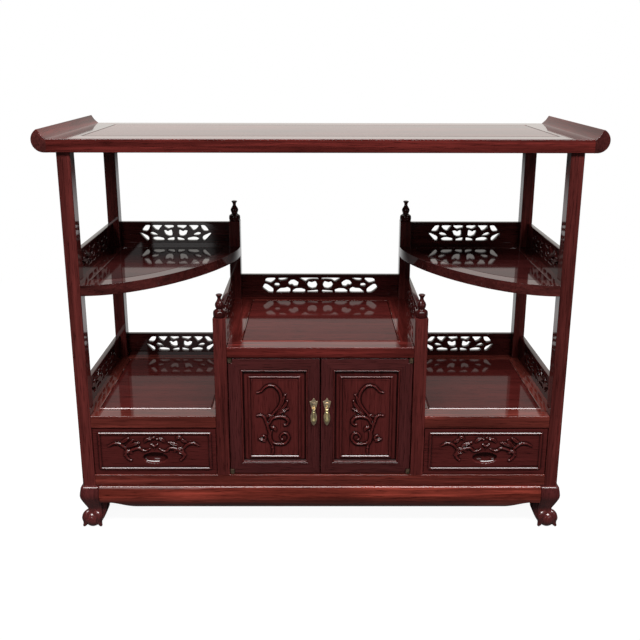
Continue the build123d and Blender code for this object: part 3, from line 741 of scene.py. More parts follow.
short_end, long_end = 43 * MM, 49 * MM    # plain wood beyond the last cell
back_fret = fretted_board(x_in - x_mid_out, short_end, short_cells, fret_half)
side_fret = fretted_board(y_back_in - y_front_in, short_end, short_cells, fret_half)
centre_fret = fretted_board(2 * x_mid_in, long_end, long_cells, long_half)
x_bay = (x_in + x_mid_out) / 2
y_stand = y_back - gallery_t / 2
for level, z in (("upper", z_upper), ("lower", z_lower)):
    for side, sign in (("left", -1), ("right", 1)):
        fret = placed(back_fret, Matrix.Translation((sign * x_bay, y_stand, z)), "X")
        piece(f"{level}_back_fret_{side}", [fret], carved_wood, [f"{level}_back_gallery_{side}"], 0)
piece("centre_back_fret", [placed(centre_fret, Matrix.Translation((0, y_stand, z_centre)), "X")],
      carved_wood, ["centre_back_gallery"], 0)
quarter = Matrix.Rotation(math.pi / 2, 4, "Z")
for level, x, z in (("upper", x_out, z_upper), ("centre", x_mid_out, z_centre),
                    ("lower", x_out, z_lower)):
    pair = [placed(side_fret, Matrix.Translation((sign * (x - gallery_t / 2), 0, z)) @ quarter, "Y")
            for sign in (-1, 1)]
    piece(f"{level}_side_frets", pair, carved_wood, [f"{level}_side_galleries"], 0)
print("fret boards:", [len(part["faces"]) for part in (back_fret, side_fret, centre_fret)], "faces")

# %% [markdown]
# ## Turned finials
# A finial is turned on a lathe: a flat ball, a bulb, a neck and a flared cup. Its profile is a
# smooth curve through a few radii, which is spun round the axis. One profile serves all four.

# %% Turned pieces
def smooth_path(points, steps=6, closed=False):
    """A Catmull-Rom curve through the points."""
    p = np.array(points, float)
    before = p[-1:] if closed else 2 * p[:1] - p[1:2]
    after = p[:2] if closed else 2 * p[-1:] - p[-2:-1]
    p = np.concatenate([before, p, after])
    t = np.linspace(0, 1, steps, endpoint=False)[:, None]
    out = []
    for a, b, c, d in zip(p, p[1:], p[2:], p[3:]):
        out.append(0.5 * (2 * b + (c - a) * t + (2 * a - 5 * b + 4 * c - d) * t ** 2
                          + (3 * b - a - 3 * c + d) * t ** 3))
    if not closed:
        out.append(p[-2:-1])
    return np.concatenate(out)


def turned(profile, sides=32):
    """A closed turning round the Z axis; the profile runs upwards from pole to pole."""
    ring = np.linspace(0, math.tau, sides, endpoint=False)
    points = [(0.0, 0.0, profile[0][1])]
    for r, z in profile[1:-1]:
        points += [(r * math.cos(a), r * math.sin(a), z) for a in ring]
    points.append((0.0, 0.0, profile[-1][1]))
    faces = []
    rows = len(profile) - 2
    for i in range(sides):
        j = (i + 1) % sides
        faces.append([0, 1 + j, 1 + i])
        for row in range(rows - 1):
            a, b = 1 + row * sides, 1 + (row + 1) * sides
            faces.append([a + i, a + j, b + j, b + i])
        top = 1 + (rows - 1) * sides
        faces.append([top + i, top + j, len(points) - 1])
    return {"points": points, "faces": faces, "grain": "Z"}


print("smooth paths and turnings can be made")

# %% Finials
finial_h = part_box("finials")[1].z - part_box("mid_post_back_left")[1].z
finial_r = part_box("finials")[1].x - (x_mid_in + x_mid_out) / 2
finial_line = ((0.85, 0.00), (0.98, 0.06), (1.00, 0.17), (0.92, 0.27), (0.62, 0.33), (0.52, 0.37),
               (0.62, 0.44), (0.69, 0.53), (0.60, 0.62), (0.40, 0.71), (0.29, 0.78), (0.32, 0.86),
               (0.47, 0.93), (0.50, 0.97), (0.36, 0.99))
finial_profile = [(r * finial_r, z * finial_h) for r, z in smooth_path(finial_line, 5)]
finial = turned([(0.0, 0.0)] + finial_profile + [(0.0, finial_h)])
finials = []
for post_name in ("front_left", "front_right", "back_left", "back_right"):
    low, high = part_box(f"mid_post_{post_name}")
    on_post = Matrix.Translation(((low.x + high.x) / 2, (low.y + high.y) / 2, high.z))
    finials.append(placed(finial, on_post))
piece("turned_finials", finials, carved_wood, ["finials"], 0)
print("finials", round(1000 * finial_h), "mm high,", round(2000 * finial_r), "mm across")

# %% [markdown]
# ## Apron
# The apron is one board with a belly that is planed along its length, and its lower edge lifts
# towards the feet. The section is swept along the board, and wherever the edge lifts, the section
# simply ends higher, so the belly stays true. Its upper arris stands out as a ledge, chamfered
# wide enough to draw a bright line, and a thin strip above it is set back as a shadow line.

# %% Section of the apron
z_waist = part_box("aprons")[1].z - (z_rail_low - z_apron)
apron_t, apron_h = 22 * MM, 49.6 * MM
belly, belly_up = 8 * MM, 0.60        # how far the face swells, and at which share of its height
toe_in = 2 * MM                       # the lower edge lies this much behind the posts
ledge = 4.5 * MM
chamfer_in, chamfer_h = 2.6 * MM, 2.7 * MM
edge_lift, edge_lift_l = 13.3 * MM, 75 * MM
foot_in = 34 * MM
waist_in = 3 * MM
apron_ease = 1.4 * MM
rows = 17                             # levels of the section's face


def apron(half, reach):
    """A bellied board along X that faces -Y, its outer plane at Y = -reach."""
    z0 = z_waist - apron_h
    face_line = [(ledge - chamfer_in, z_waist), (ledge + 0.4 * MM, z_waist - chamfer_h)]
    face_line += arc_through((ledge + 0.6 * MM, z_waist - 4 * MM), (belly, z0 + belly_up * apron_h),
                             (-toe_in, z0), 24)
    out, up = np.array(face_line).T
    end = half - edge_lift_l
    lifted = np.linspace(-half + 0.25 * edge_lift_l, -end, 13)
    stations = np.concatenate([[-half], lifted, np.linspace(end, half - 0.25 * edge_lift_l, 13),
                               [half]])
    points = []
    for x in stations:
        t = min(max((abs(x) - end) / (0.75 * edge_lift_l), 0.0), 1.0)
        low = z0 + edge_lift * (3 * t * t - 2 * t ** 3)
        levels = np.concatenate([[z_waist], np.linspace(z_waist - chamfer_h, low, rows - 1)])
        section = [(-reach - np.interp(z, up[::-1], out[::-1]), z) for z in levels]
        section += [(-reach + apron_t, low), (-reach + apron_t, z_waist)]
        points += [(x, y, z) for y, z in section]
    faces = stack_faces(len(stations), rows + 2)
    return {"points": points, "faces": [face[::-1] for face in faces], "grain": "X"}


print("belly", round(1000 * belly), "mm, ledge", round(1000 * ledge, 1), "mm")

# %% Apron boards
long_apron = apron(x_out - foot_in, -y_front)
long_waist = plain_board((-x_in, x_in), (y_front + waist_in, y_front + apron_t),
                         (z_waist, z_rail_low), "X")
to_side = Matrix.Rotation(-math.pi / 2, 4, "Z")
short_apron = placed(apron(-y_front - foot_in, x_out), to_side, "Y")
short_waist = placed(plain_board((y_front_in, y_back_in), (-x_out + waist_in, -x_out + apron_t),
                                 (z_waist, z_rail_low), "X"), to_side, "Y")
fronts = [long_apron, long_waist]
sides = [short_apron, short_waist]
piece("apron_boards", fronts + [flip_y(part) for part in fronts] + sides
      + [flip_x(part) for part in sides], apron_wood, ["aprons"], apron_ease)
print("apron", round(1000 * apron_h, 1), "mm high, waist at", round(1000 * z_waist), "mm")

# %% [markdown]
# ## Ball-and-claw feet
# A foot is carved from one block: a square shoulder with a belly, a neck, and toes that grip a
# ball. Hard shapes that only touch would show seams, so a lofted shoulder, a ball and chains of
# small balls for the toes are gathered, remeshed into one skin and smoothed, much as a carver
# blends the cuts.

# %% Shapes for a carved block
def lofted(levels, corner, count=5):
    """A closed stack of square sections with round corners, given as (z, low, high)."""
    points = []
    for z, low, high in levels:
        near, far = low + corner, high - corner
        for start, (cx, cy) in enumerate(((far, far), (near, far), (near, near), (far, near))):
            for i in range(count + 1):
                a = (start + i / count) * math.pi / 2
                points.append((cx + corner * math.cos(a), cy + corner * math.sin(a), z))
    return {"points": points, "faces": stack_faces(len(levels), 4 * (count + 1)), "grain": "Z"}


def ball(centre, r, sides=24):
    turns = np.linspace(-math.pi / 2, math.pi / 2, sides // 2 + 1)
    profile = [(r * math.cos(a), r * math.sin(a)) for a in turns]
    return placed(turned(profile, sides), Matrix.Translation(centre))


def blended(parts, voxel, rounds):
    """One skin over overlapping closed shapes."""
    made = piece("block", parts, carved_wood, [], 0)
    skin = made.modifiers.new("skin", "REMESH")
    skin.mode = "VOXEL"
    skin.voxel_size = voxel
    soften = made.modifiers.new("soften", "SMOOTH")
    soften.factor = 0.5
    soften.iterations = rounds
    return as_part(made)


print("blocks can be carved")

# %% Claw feet
foot_h = z_waist
shoulder_out = 7.5 * MM
neck_z, neck_set = 42 * MM, 4 * MM
shoulder_line = smooth_path([(foot_h - chamfer_h, ledge + 0.6 * MM),
                             (foot_h - 22 * MM, shoulder_out),
                             (foot_h - 38 * MM, 3.0 * MM), (neck_z + 4 * MM, -3.2 * MM),
                             (neck_z, -neck_set), (neck_z - 10 * MM, -neck_set)], 5)
shoulder_levels = [(z, -out, foot_in) for z, out in shoulder_line[::-1]]
shoulder = lofted(shoulder_levels + [(foot_h, chamfer_in - ledge, foot_in)], corner=5.0 * MM)
stem_low = 12 * MM
# the stem's width at five heights, in millimetres
stem_levels = ((3, 27), (16, 35), (30, 41), (46, 43), (70, 38))
stem = lofted([(z * MM, stem_low, high * MM) for z, high in stem_levels], corner=4 * MM)
ball_in, ball_z, ball_r = 13 * MM, 18 * MM, 18 * MM
toe_turns = (-150, -30, 62, 118)      # degrees round the ball
toe_line = smooth_path(((5.0, 34, 7.0), (12.5, 31, 8.0), (17.0, 24, 7.4), (17.0, 15.5, 5.6),
                        (17.6, 9.5, 4.8), (20.2, 6.0, 3.4)), 5)       # distance, height and radius
foot_parts = [shoulder, stem, ball((ball_in, ball_in, ball_z), ball_r, 32)]
for turn_deg in toe_turns:
    a = math.radians(turn_deg)
    for r, z, size in toe_line * MM:
        foot_parts.append(ball((ball_in + r * math.cos(a), ball_in + r * math.sin(a), z), size, 12))
carved_foot = blended(foot_parts, voxel=1.05 * MM, rounds=4)
sole = min(z for _, _, z in carved_foot["points"])


def drawn_down(z):
    """Smoothing lifts the sole, so the lower half of the foot is drawn down to the floor again."""
    return max(z - sole, 0.0) * foot_h / (foot_h - sole) if z < foot_h / 2 else z


carved_foot["points"] = [(x, y, drawn_down(z)) for x, y, z in carved_foot["points"]]
front_foot = placed(carved_foot, Matrix.Translation((-x_out, y_front, 0)))
feet = [front_foot, flip_x(front_foot), flip_y(front_foot), flip_x(flip_y(front_foot))]
piece("claw_feet", feet, foot_wood, ["feet"], 0)
print("one foot:", len(carved_foot["faces"]), "faces")

# %% [markdown]
# ## Carving
# The door panels and drawer fronts are carved in low relief: scrolling stems, leaves and curls
# that rise a few millimetres from a lowered ground. A relief has no undercuts, so each is a height
# over a grid. A stroke is a gouge-shaped ridge along a smooth path, tapered at its ends; a leaf
# also gets a vein. The highest stroke wins wherever two cross.

# %% Relief strokes
stroke_step = 0.35         # millimetres between the balls whose tops make up a stroke
overlap = 0.05             # strokes lie a trifle low, so that their feet close with the ground
vein_w, vein_deep = 0.7, 0.5


def ridge(shape_x, shape_z, path, width, height, leaf=False):
    """Height of one stroke over the grid."""
    line = smooth_path(path, 10)
    length = np.concatenate([[0], np.cumsum(np.hypot(*np.diff(line, axis=0).T))])
    count = max(int(length[-1] / stroke_step), 8)
    share = np.linspace(0, 1, count)
    px = np.interp(share * length[-1], length, line[:, 0])
    pz = np.interp(share * length[-1], length, line[:, 1])
    # a stroke swells from blunt ends, and a leaf from narrower ones
    taper = np.sin(math.pi * (0.06 + 0.88 * share)) ** (0.75 if leaf else 0.45)
    out = np.zeros_like(shape_x)
    near = np.full_like(shape_x, np.inf)
    for x, z, t in zip(px, pz, taper):
        d = np.hypot(shape_x - x, shape_z - z)
        w = width * t
        out = np.maximum(out, height * t ** 0.5 * np.sqrt(np.clip(1 - (d / w) ** 2, 0, 1)))
        near = np.minimum(near, d)
    if leaf:
        out *= 1 - vein_deep * np.exp(-(near / vein_w) ** 2)
    return out


def knob(shape_x, shape_z, x, z, r, height):
    d = np.hypot(shape_x - x, shape_z - z)
    return height * np.sqrt(np.clip(1 - (d / r) ** 2, 0, 1))


def carve(height, base, across, up, stems, leaves, knobs, share=1.0):
    """The height with stems, leaves and knobs on it, which stand on a base; the highest wins."""
    for strokes, leaf in ((stems, False), (leaves, True)):
        for path, width, rise in strokes:
            stroke = ridge(across, up, path, share * width, rise, leaf)
            height = np.maximum(height, base + stroke - overlap)
    for x, z, r, rise in knobs:
        height = np.maximum(height, base + knob(across, up, x, z, r, rise) - overlap)
    return height


print("strokes are laid", stroke_step, "mm apart")

# %% Beads, and painted shade in the cuts
cut_shade_spread = 24          # rounds of averaging that tell a cut from its surroundings
cut_shade_full = 0.7 * MM      # a cut this deep gets the full painted shade


def frame_bead(shape_x, shape_z, half_x, half_z, width, height):
    """A bead along a rectangle: two sides at 45 degrees and a narrow crown."""
    dx = np.abs(shape_x) - half_x
    dz = np.abs(shape_z) - half_z
    outside = np.hypot(np.maximum(dx, 0), np.maximum(dz, 0)) + np.minimum(np.maximum(dx, dz), 0)
    profile = np.clip(width - np.abs(outside), 0, 0.8 * width) + height - 0.8 * width
    return np.where(np.abs(outside) < width, profile, 0)


def painted_cut_shade(height):
    """Share of painted shade in the cuts, where the board lies below its own surroundings."""
    soft = height
    for _ in range(cut_shade_spread):
        around = np.pad(soft, 1, mode="edge")
        soft = (around[:-2, 1:-1] + around[2:, 1:-1] + around[1:-1, :-2] + around[1:-1, 2:]
                + soft) / 5
    return np.clip((soft - height) / cut_shade_full, 0, 1)


# the depth at which a cut gets the full painted shade
print("a cut", round(1000 * cut_shade_full, 1), "mm deep is fully stained")

# %% A board with a carved front
def relief_board(xs, zs, height, y_ground, y_rear, grain):
    """A board whose front is a height over a grid, with square sides and a flat back."""
    nx, nz = len(xs), len(zs)
    points = [(xs[i], y_ground - height[j, i], zs[j]) for j in range(nz) for i in range(nx)]
    faces = [[j * nx + i, j * nx + i + 1, (j + 1) * nx + i + 1, (j + 1) * nx + i]
             for j in range(nz - 1) for i in range(nx - 1)]
    rim = list(range(nx)) + [j * nx + nx - 1 for j in range(1, nz)]
    rim += [(nz - 1) * nx + i for i in range(nx - 2, -1, -1)]
    rim += [j * nx for j in range(nz - 2, 0, -1)]
    start = len(points)
    points += [(points[i][0], y_rear, points[i][2]) for i in rim]
    n = len(rim)
    for k in range(n):
        m = (k + 1) % n
        faces.append([rim[k], start + k, start + m, rim[m]])
    faces.append([start + k for k in range(n)][::-1])
    # painted shade in the cuts of the carved front; its sides and back get none
    stain = np.concatenate([painted_cut_shade(height).ravel(), np.zeros(n)])
    return {"points": points, "faces": faces, "grain": grain, "stain": stain}


print("carved boards can be made")

# %% [markdown]
# ## Doors
# A door is a frame of four mitred members round a fielded panel. A sunk border surrounds the
# field, a three-sided bead frames it with a finer one inside, and a scroll of leaves climbs up
# inside: a crook at the top with fronds at its elbow, a curl in the middle and another below. The
# right door mirrors the left.

# %% Scroll of a door, in millimetres from the middle of its field
scroll_stems = (
    ([(-36, 55), (-27, 58), (-20, 66), (-11, 71), (-1, 70), (7, 63), (12, 54), (14, 43), (13, 33),
      (8, 22), (-3, 8), (-13, -8)], 3.2, 3.8),
    ([(-36, 4), (-28, 5), (-21, 0), (-18, -10), (-15, -22)], 3.0, 3.2),
    ([(-11, -15), (-5, -3), (8, 2), (21, 0), (28, -8), (26, -15), (20, -17)], 3.8, 4.0),
    ([(-14, -12), (-14, -24), (-11, -34), (-12, -45), (-9, -56), (-4, -66)], 3.2, 3.4),
    ([(-7, -30), (-9, -44), (-4, -57), (10, -60), (21, -58), (28, -49), (27, -40), (21, -35),
      (14, -38), (11, -45), (15, -50)], 3.0, 3.6),
    ([(-28, -43), (-23, -41), (-19, -46), (-21, -53)], 2.4, 2.8),
    ([(-4, -70), (-4, -78), (-6, -84)], 2.8, 2.8),
)
scroll_leaves = (
    ([(2, 8), (13, 28), (18, 41), (22, 50)], 4.0, 3.4),
    ([(5, 7), (17, 21), (23, 29), (26, 37)], 3.8, 3.4),
    ([(1, 3), (12, 11), (27, 19)], 3.8, 3.6),
    ([(-17, 1), (-10, 5), (-2, 4)], 3.2, 3.0),
    ([(-33, -51), (-27, -50), (-19, -55)], 3.8, 3.4),
    ([(-8, -21), (-1, -24), (3, -32)], 3.8, 3.4),
)
scroll_knobs = ((22, 50, 2.6, 3.4), (26, 37, 2.4, 3.4), (27, 19, 2.4, 3.2), (-35, 4, 2.6, 3.2),
                (-4, -23, 3.6, 3.6),
                (20, -17, 2.8, 3.2), (15, -50, 2.6, 3.0), (-5, -68, 3.0, 3.4), (-31, -49, 2.8, 3.4))
print("scroll:", len(scroll_stems), "stems,", len(scroll_leaves), "leaves,", len(scroll_knobs), "knobs")

# %% Relief of a door panel
grid_step = 0.75 * MM


def grid_over(low, high):
    """Grid lines over a box in X and Z, and their millimetres from its centre."""
    xs = np.linspace(low.x, high.x, round((high.x - low.x) / grid_step) + 1)
    zs = np.linspace(low.z, high.z, round((high.z - low.z) / grid_step) + 1)
    across, up = np.meshgrid((xs - (low.x + high.x) / 2) / MM, (zs - (low.z + high.z) / 2) / MM)
    return xs, zs, across, up


# The panel's carving, in millimetres: the plate shows as a sunk border round a raised field.
border_x, border_z = 13.5, 11.5
field_drop, field_rise = 3.0, 3.0
sight_w, sight_rise = 1.7, 8.3
field_beads = ((2.7, 2.0, 5.0), (8.0, 1.0, 3.6))      # set in, half width and height of each
scroll_share = 0.86


def door_relief(low, high, sight_x, sight_z):
    """Height of the left door's panel over its plate: sight bead, field, beads and scroll."""
    xs, zs, across, up = grid_over(low, high)
    half_x = (high.x - low.x) / 2 / MM - border_x
    half_z = (high.z - low.z) / 2 / MM - border_z
    sight_bead = frame_bead(across, up, sight_x - sight_w, sight_z - sight_w, sight_w, sight_rise)
    up = up + field_drop
    inside = np.minimum(half_x - np.abs(across), half_z - np.abs(up))
    layers = [field_rise * np.clip(inside, 0, 1), sight_bead]
    layers += [frame_bead(across, up, half_x - inset, half_z - inset, width, rise)
               for inset, width, rise in field_beads]
    height = carve(np.maximum.reduce(layers), field_rise, across, up, scroll_stems, scroll_leaves,
                   scroll_knobs, scroll_share)
    return xs, zs, height * MM


print("field", field_rise, "mm high in a border of", border_x, "and", border_z, "mm")

# %% Door frames and panels
frame_low, frame_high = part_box("door_left_frame")
stile = 25 * MM
notch_x, notch_z = 8.2 * MM, 9.4 * MM
x0, x1, z0, z1 = frame_low.x, frame_high.x, frame_low.z, frame_high.z
y_face, y_door_back = frame_low.y, frame_high.y
knee_low, knee_high = (x0 + notch_x, z0 + notch_z), (x0 + notch_x, z1 - notch_z)
sight = ((x0 + stile, z0 + stile), (x1 - stile, z0 + stile), (x1 - stile, z1 - stile),
         (x0 + stile, z1 - stile))
members = [
    board([(x0, knee_low[1]), knee_low, sight[0], sight[3], knee_high, (x0, knee_high[1])],
          "Y", y_face, y_door_back, "Z"),
    board([(x1, z0), (x1, z1), sight[2], sight[1]], "Y", y_face, y_door_back, "Z"),
    board([(knee_low[0], z0), (x1, z0), sight[1], sight[0], knee_low], "Y", y_face, y_door_back,
          "X"),
    board([(knee_high[0], z1), knee_high, sight[3], sight[2], (x1, z1)], "Y", y_face, y_door_back,
          "X"),
]
plate_low, plate_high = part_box("door_left_panel")
panel_t = 8 * MM
y_plate = plate_high.y - panel_t
xs, zs, height = door_relief(plate_low, plate_high, ((x1 - x0) / 2 - stile) / MM,
                             ((z1 - z0) / 2 - stile) / MM)
panel = relief_board(xs, zs, height, y_plate, plate_high.y, "Z")
for side, turn_to in SIDES:
    piece(f"door_{side}_members", [turn_to(part) for part in members], door_wood,
          [f"door_{side}_frame"], soft_ease, soft_steps, body=f"door_{side}")
    piece(f"door_{side}_carving", [turn_to(panel)], field_wood, [f"door_{side}_panel"], 0,
          body=f"door_{side}")
print("door relief", height.shape, "up to", round(1000 * height.max(), 1), "mm over its plate")

# %% [markdown]
# ## Drawer fronts
# Each front has a bead near its edge and a spray of blossom across it: tendrils at the ends, a
# cluster of leaves on each side and a flower in the middle. Below the flower a finger scoop is
# hollowed with a bent gouge, deepest under its upper edge, so that fingertips find a hold. Its
# depth follows a squeezed ball that leans into the wood.

# %% Spray of a drawer front, in millimetres from its middle
spray_stems = (
    ([(-96, 11), (-85, 17), (-75, 17.5), (-66, 12), (-58, 3)], 2.9, 2.9),
    ([(-64, -10), (-52, 0), (-42, 5), (-32, 7), (-25, 2), (-17, 2), (-10, 6)], 2.9, 3.1),
    ([(-58, 3), (-60, -8), (-58, -15), (-51, -21)], 2.7, 2.9),
    ([(-7.5, 16), (-1, 11.5), (6, 16)], 2.9, 3.3),
    ([(9, 6), (16, 1), (24, 1), (31, 7), (42, 6), (52, 0), (63, -9)], 2.9, 3.1),
    ([(92, 12), (82, 18), (72, 17.5), (64, 12), (57, 3)], 2.9, 2.9),
    ([(57, 3), (60, -8), (58, -15), (53, -20)], 2.7, 2.9),
    ([(-0.5, 10), (-0.5, 3)], 1.5, 1.8),
)
spray_leaves = (
    ([(-68, 19), (-62, 23), (-54, 30)], 3.8, 3.2),
    ([(-55, 10), (-44, 15), (-31, 20)], 3.8, 3.4),
    ([(-64, -4), (-56, 0), (-47, -5)], 3.6, 3.2),
    ([(-60, 8), (-50, 18), (-44, 26)], 3.4, 3.0),
    ([(28, 21), (36, 18), (50, 12)], 3.8, 3.4),
    ([(44, 26), (50, 32), (57, 27)], 3.8, 3.2),
    ([(66, 20), (60, 23), (54, 29)], 3.6, 3.0),
    ([(38, -2), (50, 6), (60, 2)], 3.6, 3.2),
    ([(47, -2), (55, -4), (64, -8)], 3.4, 3.2),
    ([(-22, 20), (-15, 27), (-7, 29)], 3.8, 3.2),
    ([(22, 20), (15, 27), (7, 29)], 3.8, 3.2),
)
spray_knobs = ((-15, 28, 3.0, 3.2), (-8.5, 26, 2.6, 3.0), (-2, 30, 3.2, 3.2), (5, 27, 2.6, 3.0),
               (10, 29, 3.0, 3.2), (-66, 21, 2.6, 2.8), (-54, 29, 2.6, 3.0), (-32, 19, 2.4, 3.0),
               (-51, -21, 2.6, 2.8),
               (53, 30, 3.2, 3.0), (62, 22, 2.6, 2.8), (53, -20, 2.6, 2.8), (29, 20, 2.8, 3.0))
print("spray:", len(spray_stems), "stems,", len(spray_leaves), "leaves,", len(spray_knobs), "knobs")

# %% Relief of a drawer front
drawer_gap, drawer_gap_top = 1.5 * MM, 2.0 * MM
front_t = 18 * MM
slab_low = Vector((-x_in + drawer_gap, y_face, z_rail + drawer_gap))
slab_high = Vector((-x_mid_out - drawer_gap, y_face + front_t, z_lower_low - drawer_gap_top))
arris_r = 1.6              # in millimetres, as the next three lines
ground_in, ground_deep = 13, 1.2
bead_in, bead_w, bead_rise = 12, 2.5, 2.3
scoop_x, scoop_deep, scoop_z = 26.0, 9.5, 14.0
scoop_lean = math.radians(20)
scoop_up = 36 * MM


def scooped(across, up):
    """Depth of the finger scoop: a squeezed ball whose upper end leans into the wood."""
    s, c = math.sin(scoop_lean), math.cos(scoop_lean)
    deep, tall = scoop_deep ** -2, scoop_z ** -2
    a = c * c * deep + s * s * tall
    b = 2 * s * c * (tall - deep) * up
    rest = (s * s * deep + c * c * tall) * up ** 2 + (across / scoop_x) ** 2 - 1
    return np.where(rest < 0, (np.sqrt(np.maximum(b * b - 4 * a * rest, 0)) - b) / (2 * a), 0)


def drawer_relief():
    """Height of the left drawer's front: round arrises, bead, sunk ground, spray and scoop."""
    xs, zs, across, up = grid_over(slab_low, slab_high)
    half_x = (slab_high.x - slab_low.x) / 2 / MM
    half_z = (slab_high.z - slab_low.z) / 2 / MM
    inside = np.minimum(half_x - np.abs(across), half_z - np.abs(up))
    edge = np.clip(inside / arris_r, 0, 1)
    height = (-arris_r * (1 - np.sqrt(1 - (1 - edge) ** 2))
              - ground_deep * np.clip(inside - ground_in, 0, 1))
    bead = frame_bead(across, up, half_x - bead_in, half_z - bead_in, bead_w, bead_rise)
    height = np.where(bead > 0, np.maximum(height, bead), height)
    height = carve(height, 0.0, across, up, spray_stems, spray_leaves, spray_knobs)
    depth = scooped(across, up - (slab_low.z + scoop_up - (slab_low.z + slab_high.z) / 2) / MM)
    return xs, zs, np.where(depth > 0, -depth, height) * MM


print("scoop", round(2 * scoop_x), "mm wide")

# %% Drawer fronts
xs, zs, height = drawer_relief()
front = relief_board(xs, zs, height, y_face, slab_high.y, "X")
for side, turn_to in SIDES:
    piece(f"drawer_{side}_carved_front", [turn_to(front)], field_wood, [f"drawer_{side}_front"], 0,
          body=f"drawer_{side}")
print("drawer relief", height.shape, "up to", round(1000 * height.max(), 1), "mm")

# %% [markdown]
# ## Brass pulls
# A pull has a flat plate with a three-pointed crown and an oval lower part, two ears with a pin,
# and a teardrop that hangs from the pin and swings. The plate is a filled curve with rounded
# edges, and the drop is turned with an eye on top. The drops ride on bodies of their own.

# %% Plate and rods of a pull
pull_low, pull_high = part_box("door_left_pull_plate")
pull_x = (pull_low.x + pull_high.x) / 2
plate_w, plate_h = (pull_high.x - pull_low.x) / 2, pull_high.z - pull_low.z
plate_t, plate_round = 1.6 * MM, 0.55 * MM
hinge_z = pull_low.z + 37 * MM
hinge_y = y_face - plate_t - 5 * MM
ear_in, ear_out, ear_r = 1.5 * MM, 2.7 * MM, 2.0 * MM
pin_r, eye_half = 0.8 * MM, 1.2 * MM
crown = ((0, 0), (0.36, 0.05), (0.72, 0.17), (0.78, 0.33), (0.52, 0.46), (0.36, 0.54), (0.52, 0.62),
         (0.72, 0.70), (1.0, 0.88), (0.66, 0.87), (0.36, 0.91), (0.0, 1.0))


def pull_plate():
    half = [(u * plate_w, v * plate_h) for u, v in crown]
    outline = worn(half + [(-u, v) for u, v in half[-2:0:-1]])
    place = Matrix.Translation((pull_x, y_face - plate_t / 2, pull_low.z))
    return placed(filled_curve(outline, [], plate_t, plate_round), place)


def rod(r, low, high):
    """A round bar along X between two ends, its ends chamfered."""
    profile = [(0, low), (0.8 * r, low), (r, low + 0.2 * r), (r, high - 0.2 * r), (0.8 * r, high),
               (0, high)]
    return placed(turned(profile, 20), Matrix.Rotation(math.pi / 2, 4, "Y"))


def at_hinge(part):
    return placed(part, Matrix.Translation((pull_x, hinge_y, hinge_z)))


print("pull plates", round(1000 * plate_h), "mm tall")

# %% Pulls
ears = []
for sign in (-1, 1):
    low, high = sorted((sign * ear_in, sign * ear_out))
    ears.append(at_hinge(rod(ear_r, low, high)))
    ears.append(at_hinge(plain_board((low, high), (0, 5.6 * MM), (-1.7 * MM, 1.7 * MM), "Z")))
boss_line = ((0, 0), (4.2, 0), (4.0, 0.8), (2.4, 1.5), (0, 1.8))         # millimetres
boss = placed(turned([(r * MM, z * MM) for r, z in boss_line], 24),
              Matrix.Translation((pull_x, y_face - plate_t + 0.3 * MM, pull_low.z + 0.77 * plate_h))
              @ Matrix.Rotation(math.pi / 2, 4, "X"))
plate_parts = [pull_plate(), boss] + ears + [at_hinge(rod(pin_r, -2.0 * MM, 2.0 * MM))]
drop_l, drop_r = 27 * MM, 3.9 * MM
drop_line = [(0.26, 0.0), (0.30, -0.12), (0.56, -0.17), (0.34, -0.22), (0.36, -0.34), (0.56, -0.54),
             (0.92, -0.74), (1.0, -0.84), (0.76, -0.93), (0.36, -0.965), (0.26, -0.985)]
drop_profile = [(r * drop_r, z * drop_l) for r, z in smooth_path(drop_line[::-1], 4)]
drop_parts = [at_hinge(turned([(0, -drop_l)] + drop_profile + [(0, 0)], 24)),
              at_hinge(rod(ear_r, -eye_half, eye_half))]
for side, turn_to in SIDES:
    piece(f"pull_{side}_plate", [turn_to(part) for part in plate_parts], brass,
          [f"door_{side}_pull_plate"], 0, body=f"door_{side}")
    piece(f"pull_{side}_drop", [turn_to(part) for part in drop_parts], rubbed_brass,
          [f"door_{side}_pull_drop"], 0, body=f"drop_{side}")
print("drops", round(1000 * drop_l), "mm long")

# %% [markdown]
# ## Eased arrises
# Every free arris is eased, but the arrises of a glued mitre are not: two boards that meet there
# share the same edge, and easing it would cut a groove into the joint. So edges that two boards
# share are counted over the whole cabinet first, and only the others get a bevel. Floating panels
# aren't glued, so they are left out of the count and eased all round.

# %% Arrises that are eased
least = math.radians(35)   # faces that meet at more than this make an arris
per_metre = 5000           # corners are told apart to a fifth of a millimetre


def sharp_edges(mesh):
    """The arrises of a mesh, with their two ends."""
    work = bmesh.new()
    work.from_mesh(mesh)
    work.verts.ensure_lookup_table()
    found = {}
    for edge in work.edges:
        if len(edge.link_faces) == 2 and edge.calc_face_angle(0) > least:
            ends = sorted(tuple(round(c * per_metre) for c in v.co) for v in edge.verts)
            found[edge.index] = tuple(ends)
    work.free()
    return found


eased = [obj for obj in bpy.data.objects if "eased_arrises" in obj.modifiers]
sharp = {obj.name: sharp_edges(obj.data) for obj in eased}
floating = [obj.name for obj in eased if obj.modifiers["eased_arrises"].segments == 1]
uses = {}
for name, found in sharp.items():
    for ends in () if name in floating else found.values():
        uses[ends] = uses.get(ends, 0) + 1
for obj in eased:
    weights = np.zeros(len(obj.data.edges), np.float32)
    for index, ends in sharp[obj.name].items():
        glued = obj.name not in floating and uses[ends] > 1
        weights[index] = 0.0 if glued else 1.0
        obj.data.edges[index].use_edge_sharp = glued
    obj.data.attributes.new("bevel_weight_edge", "FLOAT", "EDGE").data.foreach_set("value", weights)
print("arrises:", len(uses), "of which glued:", sum(count > 1 for count in uses.values()))

# %% [markdown]
# ## Light and background
# A dark lacquered piece is lit by what it mirrors. A long soft box overhead draws the bright lines
# on the upper arrises, wider than the cabinet so that they don't fade towards its ends. The world
# is white to the camera. The lacquer sees white, a little warmer, only behind the cabinet and near
# its middle, so that the ends of the curved rails stay dark, and darkness on the viewer's side.
# The floor is a sheet of paper: it takes the cabinet's shadow, the lacquer sees only the part
# behind the cabinet, and its own colour fades out further back, so that it runs into the white
# without an edge.

